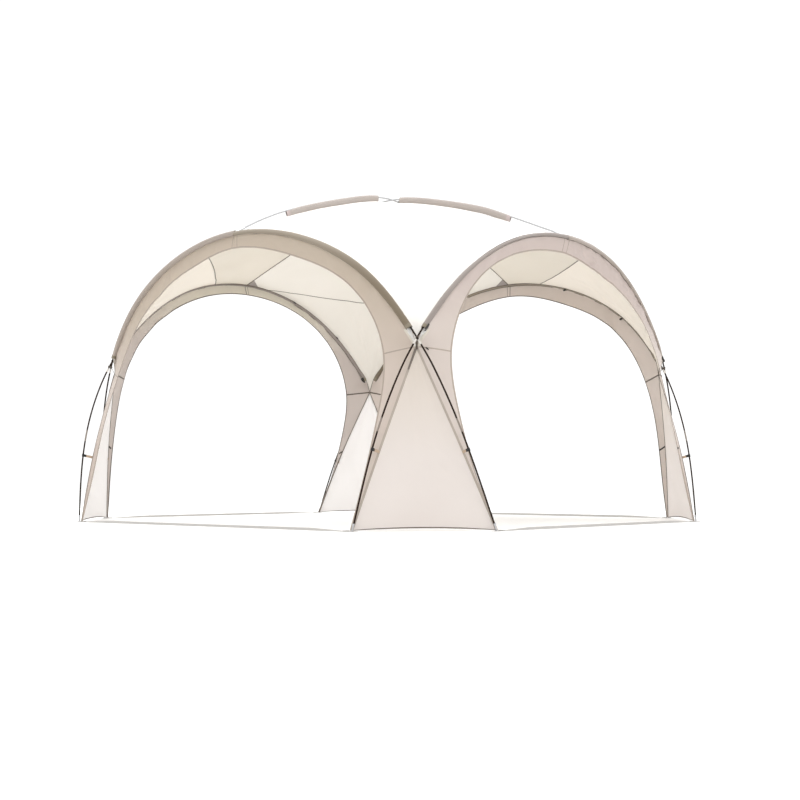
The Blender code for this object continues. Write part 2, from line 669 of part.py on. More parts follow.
def build_tent():
    """The whole tent, in a collection of its own."""
    materials = {
        "pole": make_material("black_pole", (0.045, 0.038, 0.034), 0.35, 0.6),
        "ridge_pole": make_material("grey_pole", (0.36, 0.36, 0.37), 0.35, 0.8),
        "sleeve": make_material("taupe_sleeve", (0.36, 0.30, 0.25), 0.9),
        "ridge_sleeve": make_material("beige_sleeve", (0.62, 0.54, 0.47), 0.9),
        "roof": make_material("cream_roof_cloth", (0.90, 0.85, 0.77), 0.9),
        "trim": make_material("khaki_trim_cloth", (0.68, 0.58, 0.50), 0.9),
        "leg": make_material("cream_leg_cloth", (0.84, 0.77, 0.69), 0.9),
        "webbing": make_material("grey_webbing", (0.70, 0.68, 0.64), 0.9),
        "tie": make_material("black_webbing", (0.03, 0.03, 0.03), 0.8),
        "hook": make_material("tan_webbing", (0.68, 0.48, 0.32), 0.8),
    }
    for group in ("canopy_tent", "guides"):
        bpy.context.scene.collection.children.link(bpy.data.collections.new(group))
    collection = bpy.data.collections["canopy_tent"]
    root = bpy.data.objects.new("canopy_tent_origin", None)
    collection.objects.link(root)
    front = Arch(
        "front", (SIDE_FOOT_X, SIDE_FOOT_Y), (CROSS_X, CROSS_Y), (FRONT_ARCH_TOP_Y, FRONT_ARCH_TOP_Z),
        FRONT_ARCH_BOW, FRONT_ARCH_SHOULDERS, -CROSSING_OFFSET,
    )
    side = Arch(
        "side", (FRONT_FOOT_Y, FRONT_FOOT_X), (CROSS_Y, CROSS_X), (SIDE_ARCH_TOP_X, SIDE_ARCH_TOP_Z),
        SIDE_ARCH_BOW, SIDE_ARCH_SHOULDERS, CROSSING_OFFSET,
    )
    ridges = {
        "front": ridge_line(
            FRONT_ARCH_TOP_Y, FRONT_ARCH_TOP_Z, RIDGE_TOP_Z + RIDGE_POLE_STEP, RIDGE_TIP_SETBACK
        ),
        "side": ridge_line(
            SIDE_ARCH_TOP_X, SIDE_ARCH_TOP_Z, RIDGE_TOP_Z - RIDGE_POLE_STEP, RIDGE_TIP_SETBACK
        ),
    }
    build_arches(front, side, materials, root)
    build_ridges(ridges, materials, root)
    build_cloth(front, side, ridges, materials, root)
    build_fittings(front, side, materials, root)


clear_scene()
build_tent()
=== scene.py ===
"""Looks of the dome canopy tent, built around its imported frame.

Cloth, seams, sleeves, poles, straps and fittings are worked out from the tent's driving sizes as surfaces on
grids. Units are metres and +Z is up. The front opening faces -Y, the back one +Y, the right one +X and the
left one -X. A shape is worked out in the front right quarter and mirrored, and each copy of a piece of cloth
has folds of its own.
"""

import logging
import math
from dataclasses import dataclass, field, replace
from enum import Enum
from typing import Iterable, Optional, Sequence

import bpy
import numpy as np
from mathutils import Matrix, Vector


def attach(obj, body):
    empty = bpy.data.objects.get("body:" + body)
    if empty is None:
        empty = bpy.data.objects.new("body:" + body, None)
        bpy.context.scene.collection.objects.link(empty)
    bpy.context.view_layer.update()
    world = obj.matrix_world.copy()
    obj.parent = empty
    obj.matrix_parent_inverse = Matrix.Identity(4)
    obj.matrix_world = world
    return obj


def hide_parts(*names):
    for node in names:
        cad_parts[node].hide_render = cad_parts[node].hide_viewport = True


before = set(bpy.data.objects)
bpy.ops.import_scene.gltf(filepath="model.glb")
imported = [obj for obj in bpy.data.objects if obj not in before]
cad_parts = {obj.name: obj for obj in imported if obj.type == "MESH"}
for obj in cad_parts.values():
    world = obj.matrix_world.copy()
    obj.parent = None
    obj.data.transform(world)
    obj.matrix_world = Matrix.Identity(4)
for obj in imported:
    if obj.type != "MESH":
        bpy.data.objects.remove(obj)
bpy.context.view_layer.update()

Array = np.ndarray
Pair = tuple[float, float]
Triple = tuple[float, float, float]
LOG = logging.getLogger("canopy_tent")
UP = np.array([0.0, 0.0, 1.0])
INWARD = np.array([-math.sqrt(0.5), math.sqrt(0.5), 0.0])
MM = 0.001                         # a millimetre in metres
CLOTH_HALF = 0.4 * MM              # half the thickness of the cloth as drawn
SHARP_ANGLE = 42.0                 # in degrees, from which an edge shows


class Side(Enum):
    """The two kinds of arch and opening."""

    FRONT = "front"     # across the front and, mirrored, the back
    FLANK = "flank"     # across the right and, mirrored, the left


class Quarter(Enum):
    """The four quarters of the tent, with the signs that mirror the front right one into them."""

    FRONT_RIGHT = (1, 1)
    FRONT_LEFT = (-1, 1)
    BACK_RIGHT = (1, -1)
    BACK_LEFT = (-1, -1)

    @property
    def label(self) -> str:
        """The quarter's name as the CAD nodes have it."""
        return self.name.lower()

    @property
    def end(self) -> str:
        """The front or back opening beside it."""
        return self.label.split("_")[0]

    @property
    def flank(self) -> str:
        """The right or left opening beside it."""
        return self.label.split("_")[1]

    @property
    def signs(self) -> Array:
        """What the front right quarter's points are multiplied by."""
        return np.array([self.value[0], self.value[1], 1.0])


class Opening(Enum):
    """The four openings, each with its kind and the signs that mirror the front or right one into it."""

    FRONT = (Side.FRONT, 1, 1)
    BACK = (Side.FRONT, 1, -1)
    RIGHT = (Side.FLANK, 1, 1)
    LEFT = (Side.FLANK, -1, 1)

    @property
    def label(self) -> str:
        """The opening's name as the CAD nodes have it."""
        return self.name.lower()

    @property
    def side(self) -> Side:
        """The kind of the opening."""
        return self.value[0]

    @property
    def signs(self) -> Array:
        """What the front or right opening's points are multiplied by."""
        return np.array([self.value[1], self.value[2], 1.0])


# Lines and surfaces


def unit(vectors: Array) -> Array:
    """The vectors at a length of one."""
    return vectors / np.maximum(np.linalg.norm(vectors, axis=-1, keepdims=True), 1e-12)


def run_lengths(points: Array) -> Array:
    """Distance of each point from the first, along the straight lines between them."""
    return np.concatenate([[0.0], np.cumsum(np.linalg.norm(np.diff(points, axis=0), axis=-1))])


def tangents(points: Array) -> Array:
    """Unit direction of a line at each of its points, from its two neighbours."""
    return unit(np.gradient(points, axis=0))


def square_to(vectors: Array, directions: Array) -> Array:
    """The unit part of each vector that is square to its direction: the vector less its part along it."""
    along = np.sum(vectors * directions, axis=-1, keepdims=True)
    return unit(vectors - along * directions)


def natural_spline(knots: Array, stations: Array, along: Array) -> Array:
    """Natural cubic spline through knots of any shape.

    Each span is the cubic whose bends at its ends let the slopes of neighbouring spans meet, and the line
    runs straight at its two ends.

    Args:
        knots: values at the knots, along the first axis.
        stations: where the spline is read.
        along: where the knots are.

    Returns:
        The values at the stations.
    """
    flat = knots.reshape(len(knots), -1)
    spans = np.diff(along)
    slopes = np.diff(flat, axis=0) / spans[:, None]
    system = np.eye(len(flat))
    inner = np.arange(1, len(flat) - 1)
    system[inner, inner - 1] = spans[:-1]
    system[inner, inner] = 2 * (spans[:-1] + spans[1:])
    system[inner, inner + 1] = spans[1:]
    right_side = np.zeros_like(flat)
    right_side[1:-1] = 6 * np.diff(slopes, axis=0)
    bends = np.linalg.solve(system, right_side)
    span = np.clip(np.searchsorted(along, stations, side="right") - 1, 0, len(flat) - 2)
    width = spans[span][:, None]
    before = (stations - along[span])[:, None]
    after = width - before
    values = (
        bends[span] * after ** 3 / (6 * width)
        + bends[span + 1] * before ** 3 / (6 * width)
        + (flat[span] / width - bends[span] * width / 6) * after
        + (flat[span + 1] / width - bends[span + 1] * width / 6) * before
    )
    return values.reshape(len(stations), *knots.shape[1:])


def cut_finer(stations: Array, pieces: int) -> Array:
    """The stations with each span between them cut into equal pieces."""
    index = np.arange((len(stations) - 1) * pieces + 1) / pieces
    return np.interp(index, np.arange(len(stations)), stations)


def spaced(points: Array, step: float) -> Array:
    """The line at about equal steps, on a natural spline through its points."""
    lengths = run_lengths(points)
    count = max(2, int(math.ceil(lengths[-1] / step)) + 1)
    return natural_spline(points, np.linspace(0.0, lengths[-1], count), lengths)


def grid_normals(grid: Array) -> Array:
    """Unit normals of a grid surface: the cross product of its two gradients."""
    return unit(np.cross(np.gradient(grid, axis=0), np.gradient(grid, axis=1)))


def facing_normals(grid: Array, face: Array) -> Array:
    """Unit normals of a grid surface, on the side that a rough direction points to."""
    normals = grid_normals(grid)
    return normals * np.sign(np.sum(normals * face, axis=-1, keepdims=True))


def grid_places(grid: Array) -> Array:
    """Distances along the rows' and columns' middle lines, as flat cloth coordinates of each point."""
    down = run_lengths(grid[:, grid.shape[1] // 2])
    over = run_lengths(grid[grid.shape[0] // 2])
    return np.stack(np.broadcast_arrays(down[:, None], over[None, :]), axis=-1)


@dataclass(frozen=True)
class Folds:
    """Soft folds in cloth: waves of one rough length and direction, which slower waves fade in and out.

    Attributes:
        length: from crest to crest, in metres.
        height: rough height of the crests.
        slant: direction across the crests, in radians from the first cloth coordinate.
        seed: what the folds are drawn from.
        spread: how much the waves' directions differ, in radians.
        waves: how many waves are summed.
    """

    length: float
    height: float
    slant: float
    seed: int
    spread: float = 0.3
    waves: int = 5

    def wave_sum(self, places: Array, length: float, draw: np.random.Generator) -> Array:
        """Sum of sine waves with drawn directions, lengths and starts, at flat cloth coordinates."""
        angles = self.slant + self.spread * draw.standard_normal(self.waves)
        lengths = length * draw.uniform(0.7, 1.4, self.waves)
        starts = draw.uniform(0.0, 2 * math.pi, self.waves)
        across = places[..., :1] * np.cos(angles) + places[..., 1:2] * np.sin(angles)
        return np.sin(2 * math.pi * across / lengths + starts).sum(axis=-1) / math.sqrt(self.waves)

    def at(self, places: Array) -> Array:
        """Height of the folds at flat cloth coordinates."""
        draw = np.random.default_rng(self.seed)
        quick_waves = self.wave_sum(places, self.length, draw)
        slow_waves = self.wave_sum(places, 4.5 * self.length, draw)
        return self.height * quick_waves * (0.5 + 0.5 * np.tanh(1.5 * slow_waves))


@dataclass
class Shape:
    """A closed mesh as arrays.

    Attributes:
        points: the corners' places.
        quads: the four corners of each face.
        places: the flat coordinates of each face's corners, in metres.
        caps: faces with other numbers of corners.
    """

    points: Array
    quads: Array
    places: Array
    caps: list[Array] = field(default_factory=list)

    def volume(self) -> float:
        """Volume that the faces close, negative where they point inwards: a sixth of the sum of a.(b x c)."""
        triangles = [self.quads[:, [0, 1, 2]], self.quads[:, [0, 2, 3]]]
        for cap in self.caps:
            rest = np.stack([cap[1:-1], cap[2:]], axis=1)
            triangles.append(np.column_stack([np.full(len(rest), cap[0]), rest]))
        a, b, c = (self.points[np.concatenate(triangles)[:, i]] for i in range(3))
        return float(np.sum(a * np.cross(b, c)) / 6)

    def outward(self) -> "Shape":
        """The same shape with its faces pointing out."""
        if self.volume() < 0:
            self.quads = self.quads[:, ::-1]
            self.places = self.places[:, ::-1]
            self.caps = [cap[::-1] for cap in self.caps]
        return self


def joined(shapes: Iterable[Shape]) -> Shape:
    """Several shapes as one."""
    points, quads, places, caps, count = [], [], [], [], 0
    for shape in shapes:
        points.append(shape.points)
        quads.append(shape.quads + count)
        places.append(shape.places)
        caps.extend(cap + count for cap in shape.caps)
        count += len(shape.points)
    return Shape(np.concatenate(points), np.concatenate(quads), np.concatenate(places), caps)


def skin(grid: Array, close_rows: bool = False) -> Shape:
    """Faces over a grid of points whose rows are rings.

    Args:
        grid: rows by columns of points.
        close_rows: whether the last row joins the first.

    Returns:
        The shape. Where the last row doesn't join the first, both get end faces.
    """
    rows, columns = grid.shape[:2]
    i = np.arange(rows if close_rows else rows - 1)[:, None]
    j = np.arange(columns)[None, :]
    steps = ((0, 0), (1, 0), (1, 1), (0, 1))
    quads = np.stack([((i + a) % rows) * columns + (j + b) % columns for a, b in steps], axis=-1)
    down = run_lengths(np.concatenate([grid[:, 0], grid[:1, 0]]))
    over = run_lengths(np.concatenate([grid[rows // 2], grid[rows // 2, :1]]))
    places = np.stack(
        [np.stack(np.broadcast_arrays(down[i + a], over[j + b]), axis=-1) for a, b in steps], axis=-2
    )
    caps = []
    if not close_rows:
        caps = [np.arange(columns), (rows - 1) * columns + np.arange(columns)[::-1]]
    return Shape(grid.reshape(-1, 3), quads.reshape(-1, 4), places.reshape(-1, 4, 2), caps).outward()


def closed_sheet(grid: Array, thickness: float) -> Shape:
    """A sheet of cloth: the grid moved half the thickness to each side, with a rim between the two."""
    rows, columns = grid.shape[:2]
    lift = grid_normals(grid) * thickness / 2
    places = grid_places(grid).reshape(-1, 2)
    upper = np.arange(rows * columns).reshape(rows, columns)
    faces = np.stack([upper[:-1, :-1], upper[1:, :-1], upper[1:, 1:], upper[:-1, 1:]], axis=-1).reshape(-1, 4)
    ring = np.concatenate([upper[0, :-1], upper[:-1, -1], upper[-1, :0:-1], upper[:0:-1, 0]])
    count = rows * columns
    rim = np.stack([ring, np.roll(ring, -1), np.roll(ring, -1) + count, ring + count], axis=-1)
    quads = np.concatenate([faces, faces[:, ::-1] + count, rim])
    points = np.concatenate([(grid + lift).reshape(-1, 3), (grid - lift).reshape(-1, 3)])
    return Shape(points, quads, places[quads % count]).outward()


def swept(path: Array, across: Array, outline: Array) -> Shape:
    """A solid carried along a path.

    Args:
        path: the points it follows.
        across: the direction of the outline's first axis at each point.
        outline: closed outline, one for all points or one for each; its second axis is square to the path
            and to the first.

    Returns:
        The closed solid.
    """
    along = tangents(path)
    first = square_to(across, along)
    second = np.cross(along, first)
    outlines = np.broadcast_to(outline, (len(path), *outline.shape[-2:]))
    grid = path[:, None] + outlines[..., :1] * first[:, None] + outlines[..., 1:] * second[:, None]
    return skin(grid)


def round_outline(radius: float, sides: int) -> Array:
    """A circle as a closed outline."""
    angles = np.arange(sides) * 2 * math.pi / sides
    return radius * np.stack([np.cos(angles), np.sin(angles)], axis=-1)


def tube(path: Array, radii: Array | float, reference: Array, sides: int = 12) -> Shape:
    """A round bar along a path, with a radius for each of its points."""
    sizes = np.broadcast_to(np.asarray(radii, float), (len(path),))
    outline = round_outline(1.0, sides)[None] * sizes[:, None, None]
    return swept(path, np.broadcast_to(reference, path.shape), outline)


def strap_outline(widths: Array | float, thickness: float) -> Array:
    """Section of a strap: a flat rectangle with its corners cut, one for each width."""
    w = np.asarray(widths, float)[..., None] / 2
    t, cut = thickness / 2, thickness / 3
    sideways = np.concatenate([w, w - cut, 0 * w, cut - w, -w, -w, cut - w, 0 * w, w - cut, w], axis=-1)
    upwards = np.array([t - cut, t, t, t, t - cut, cut - t, -t, -t, -t, cut - t])
    return np.stack(np.broadcast_arrays(sideways, upwards), axis=-1)


def strap(path: Array, across: Array, widths: Array | float, thickness: float) -> Shape:
    """A strap along a path, its width in the direction across."""
    return swept(path, np.broadcast_to(across, path.shape), strap_outline(widths, thickness))


def read_grid(grid: Array, u: Array, v: Array) -> Array:
    """Values of a grid at shares along its rows and columns, by straight lines between its points."""
    rows, columns = grid.shape[:2]
    a, b = np.clip(u, 0, 1) * (rows - 1), np.clip(v, 0, 1) * (columns - 1)
    i, j = np.minimum(a.astype(int), rows - 2), np.minimum(b.astype(int), columns - 2)
    s, t = (a - i)[..., None], (b - j)[..., None]
    return (
        (1 - s) * (1 - t) * grid[i, j] + s * (1 - t) * grid[i + 1, j]
        + (1 - s) * t * grid[i, j + 1] + s * t * grid[i + 1, j + 1]
    )


def tape_on(grid: Array, u: Array, v: Array, face: Array, widths: Array | float, thickness: float) -> Shape:
    """Tape sewn flat on a cloth.

    Args:
        grid: the cloth's middle surface.
        u: shares along its rows that the tape's middle follows.
        v: shares along its columns.
        face: a rough direction out of the cloth's face that it lies on.
        widths: the tape's width, one or one for each point.
        thickness: its thickness.

    Returns:
        The tape.
    """
    u, v = np.broadcast_arrays(u, v)
    normals = unit(read_grid(grid_normals(grid), u, v))
    normals = normals * np.sign(np.sum(normals * face, axis=-1, keepdims=True))
    path = read_grid(grid, u, v) + (thickness / 2 + CLOTH_HALF) * normals
    return strap(path, np.cross(tangents(path), normals), widths, thickness)


def circle_about(axis: Array, sides: int) -> Array:
    """Unit directions all round an axis, square to it."""
    first = square_to(np.eye(3)[0 if abs(axis[0]) < 0.8 else 1], axis)
    circle = round_outline(1.0, sides)
    return circle[:, :1] * first + circle[:, 1:] * np.cross(axis, first)


def turned(profile: Sequence[Pair], foot: Array, axis: Array, sides: int) -> Shape:
    """A solid of revolution: the profile's radii and heights, turned about an axis from the foot."""
    table = np.array(profile)[:, None]
    axis = unit(axis)
    return skin(foot + table[..., :1] * circle_about(axis, sides) + table[..., 1:] * axis)


def ring(centre: Array, axis: Array, radius: float, wire: float, sides: int) -> Shape:
    """A ring of round wire: a small circle carried round a large one."""
    axis = unit(axis)
    small = round_outline(wire, 10)
    grid = centre + (radius + small[:, :1]) * circle_about(axis, sides)[:, None] + small[:, 1:] * axis
    return skin(grid, close_rows=True)


def hollow(outer: Array, inner: Array) -> Shape:
    """A tube with open ends: an outer and an inner grid of closed rows, joined at both mouths."""
    return skin(np.concatenate([outer, inner[::-1]]), close_rows=True)


# Finishes


def linear(hex_colour: str) -> tuple[float, float, float, float]:
    """An sRGB hex colour as linear red, green, blue and alpha."""
    channels = np.array([int(hex_colour[i:i + 2], 16) / 255 for i in (1, 3, 5)])
    values = np.where(channels <= 0.04045, channels / 12.92, ((channels + 0.055) / 1.055) ** 2.4)
    return (*values.tolist(), 1.0)


def add_node(
    tree: bpy.types.NodeTree, kind: str, settings: Optional[dict] = None, **inputs: object,
) -> bpy.types.Node:
    """Adds a node to a tree.

    Args:
        tree: the material's node tree.
        kind: Blender's name for the node, less the "ShaderNode" that all begin with.
        settings: properties of the node by name.
        **inputs: sockets by name, with underscores for spaces, or by number after "i": a value, or a
            socket to link from.

    Returns:
        The node.
    """
    node = tree.nodes.new(f"ShaderNode{kind}")
    for name, value in (settings or {}).items():
        setattr(node, name, value)
    for name, value in inputs.items():
        key = int(name[1:]) if name[1:].isdigit() else name.replace("_", " ")
        if isinstance(value, bpy.types.NodeSocket):
            tree.links.new(value, node.inputs[key])
        else:
            node.inputs[key].default_value = value
    return node


def blank_material(name: str) -> tuple[bpy.types.Material, bpy.types.NodeTree]:
    """A material with an empty node tree."""
    material = bpy.data.materials.new(name)
    material.use_nodes = True
    material.node_tree.nodes.clear()
    return material, material.node_tree


@dataclass(frozen=True)
class WovenPolyester:
    """Plain woven polyester with a thin waterproof coating, dyed and sewn.

    To the eye it is matt with a faint sheen at a grazing angle, lets some daylight through, has soft
    creases a hand wide, and its colour drifts a little from patch to patch.

    Attributes:
        name: the material's name.
        colour: sRGB hex of the cloth.
        drift: sRGB hex of its darker patches.
        glow: sRGB hex of the daylight that comes through.
        translucency: share of the light that passes through.
        higher: painted light and shade, the colour turning lighter or darker further up as light falls there:
        its sRGB hex and the heights between which it turns.
        corner: sRGB hex of a roof panel's corner piece, past its cross seam, cut from other cloth.
        outside: sRGB hex of faces that look up, painted lighter where the sun falls on them and darker in
            shade.
        thread: spacing of the threads as drawn. Real ones are 0.3 mm apart, too fine to show, so they are
            drawn coarser.
        crease: height of the soft creases.
        patch_size: breadth of the patches.
        crease_size: breadth of the creases.
    """

    name: str
    colour: str
    drift: str
    glow: str
    translucency: float = 0.22
    higher: Optional[tuple[str, float, float]] = None
    corner: str = ""
    outside: str = ""
    thread: float = 1.6 * MM
    crease: float = 3.0 * MM
    patch_size: float = 0.45
    crease_size: float = 0.11

    def made(self) -> bpy.types.Material:
        """Builds the material."""
        material, tree = blank_material(self.name)
        places = add_node(tree, "TexCoord").outputs
        patches = add_node(
            tree, "TexNoise", Vector=places["Object"], Scale=1 / self.patch_size, Detail=2.0
        ).outputs[0]
        layers = [(patches, self.drift)]
        # Painted light and shade: the colour turns lighter or darker with height.
        if self.higher:
            tint, low, high = self.higher
            height = add_node(tree, "SeparateXYZ", Vector=places["Object"]).outputs["Z"]
            painted_height_mix = add_node(tree, "MapRange", Value=height, i1=low, i2=high)
            layers.append((painted_height_mix.outputs[0], tint))
        if self.corner:
            side = add_node(tree, "Attribute", {"attribute_name": "corner_side"}).outputs["Fac"]
            past = add_node(tree, "Math", {"operation": "GREATER_THAN"}, i0=side, i1=0.0)
            layers.append((past.outputs[0], self.corner))
        # Painted light and shade on the faces that look up.
        if self.outside:
            facing = add_node(tree, "NewGeometry").outputs["True Normal"]
            rise = add_node(tree, "SeparateXYZ", Vector=facing).outputs["Z"]
            up = add_node(tree, "Math", {"operation": "GREATER_THAN"}, i0=rise, i1=0.0)
            layers.append((up.outputs[0], self.outside))
        colour = linear(self.colour)
        for share, tint in layers:
            colour = add_node(
                tree, "Mix", {"data_type": "RGBA"}, Factor=share, i6=colour, i7=linear(tint)
            ).outputs[2]
        weave = [
            add_node(
                tree, "TexWave", {"bands_direction": axis, "wave_profile": "SIN"},
                Vector=places["UV"], Scale=0.314 / self.thread,
            ).outputs["Fac"]
            for axis in ("X", "Y")
        ]
        threads = add_node(tree, "Math", {"operation": "MAXIMUM"}, i0=weave[0], i1=weave[1])
        creases = add_node(
            tree, "TexNoise", Vector=places["Object"], Scale=1 / self.crease_size, Detail=3.0
        )
        soft = add_node(tree, "Bump", Height=creases.outputs[0], Strength=0.55, Distance=self.crease)
        fine = add_node(
            tree, "Bump", Height=threads.outputs[0], Strength=0.25, Distance=0.3 * MM,
            Normal=soft.outputs[0],
        )
        rough = add_node(tree, "MapRange", Value=patches, To_Min=0.62, To_Max=0.8)
        cloth = add_node(
            tree, "BsdfPrincipled", Base_Color=colour, Normal=fine.outputs[0],
            Roughness=rough.outputs[0], Sheen_Weight=0.25, Sheen_Roughness=0.45, Specular_IOR_Level=0.35,
        )
        through = add_node(tree, "BsdfTranslucent", Color=linear(self.glow), Normal=soft.outputs[0])
        mixed = add_node(
            tree, "MixShader", i0=self.translucency, i1=cloth.outputs[0], i2=through.outputs[0]
        )
        add_node(tree, "OutputMaterial", Surface=mixed.outputs[0])
        return material


@dataclass(frozen=True)
class Webbing:
    """Polyester webbing or bias tape, woven flat with ribs along it and sewn with two rows of stitches.

    To the eye it is matt and a little hairy, with ribs that run along it and a dashed line near each edge.
    """

    name: str
    colour: str
    drift: str
    rib: float = 2.2 * MM
    stitch: float = 9.0 * MM
    wear_size: float = 0.06

    def made(self) -> bpy.types.Material:
        """Builds the material."""
        material, tree = blank_material(self.name)
        places = add_node(tree, "TexCoord").outputs
        ribs = add_node(
            tree, "TexWave", {"bands_direction": "Y", "wave_profile": "SIN"},
            Vector=places["UV"], Scale=0.314 / self.rib,
        ).outputs["Fac"]
        picks = add_node(
            tree, "TexWave", {"bands_direction": "X", "wave_profile": "TRI"},
            Vector=places["UV"], Scale=0.314 / self.stitch,
        ).outputs["Fac"]
        wear = add_node(
            tree, "TexNoise", Vector=places["Object"], Scale=1 / self.wear_size, Detail=4.0
        ).outputs[0]
        colour = add_node(
            tree, "Mix", {"data_type": "RGBA"}, Factor=wear, i6=linear(self.colour), i7=linear(self.drift)
        ).outputs[2]
        both = add_node(tree, "Math", {"operation": "MULTIPLY_ADD"}, i0=picks, i1=0.35, i2=ribs)
        bump = add_node(tree, "Bump", Height=both.outputs[0], Strength=0.5, Distance=0.5 * MM)
        rough = add_node(tree, "MapRange", Value=wear, To_Min=0.7, To_Max=0.9)
        tape = add_node(
            tree, "BsdfPrincipled", Base_Color=colour, Normal=bump.outputs[0],
            Roughness=rough.outputs[0], Sheen_Weight=0.2, Specular_IOR_Level=0.3,
        )
        add_node(tree, "OutputMaterial", Surface=tape.outputs[0])
        return material


@dataclass(frozen=True)
class Hard:
    """A hard finish: pultruded glass fibre with a gel coat, anodised aluminium, or moulded acetal plastic.

    To the eye glass fibre has a soft gloss and faint lines along the pole, aluminium is a brushed silver,
    and the plastic has a fine moulded texture.

    Attributes:
        name: the material's name.
        colour: sRGB hex.
        drift: sRGB hex of the worn places.
        roughness: lowest and highest roughness.
        metallic: one for a metal.
        grain: size of the surface grain in metres.
        grain_height: its height.
        coat: weight of a clear coat.
        specular: strength of its highlights.
        wear_size: breadth of the worn places.
    """

    name: str
    colour: str
    drift: str
    roughness: Pair
    metallic: float = 0.0
    grain: float = 1.5 * MM
    grain_height: float = 0.05 * MM
    coat: float = 0.0
    specular: float = 0.5
    wear_size: float = 0.05

    def made(self) -> bpy.types.Material:
        """Builds the material."""
        material, tree = blank_material(self.name)
        places = add_node(tree, "TexCoord").outputs["Object"]
        wear, grain = (
            add_node(tree, "TexNoise", Vector=places, Scale=1 / size, Detail=detail).outputs[0]
            for size, detail in ((self.wear_size, 4.0), (self.grain, 2.0))
        )
        colour = add_node(
            tree, "Mix", {"data_type": "RGBA"}, Factor=wear, i6=linear(self.colour), i7=linear(self.drift)
        ).outputs[2]
        bump = add_node(tree, "Bump", Height=grain, Strength=0.4, Distance=self.grain_height)
        low, high = self.roughness
        rough = add_node(tree, "MapRange", Value=wear, To_Min=low, To_Max=high)
        surface = add_node(
            tree, "BsdfPrincipled", Base_Color=colour, Normal=bump.outputs[0],
            Roughness=rough.outputs[0], Metallic=self.metallic, Specular_IOR_Level=self.specular,
            Coat_Weight=self.coat, Coat_Roughness=0.15,
        )
        add_node(tree, "OutputMaterial", Surface=surface.outputs[0])
        return material


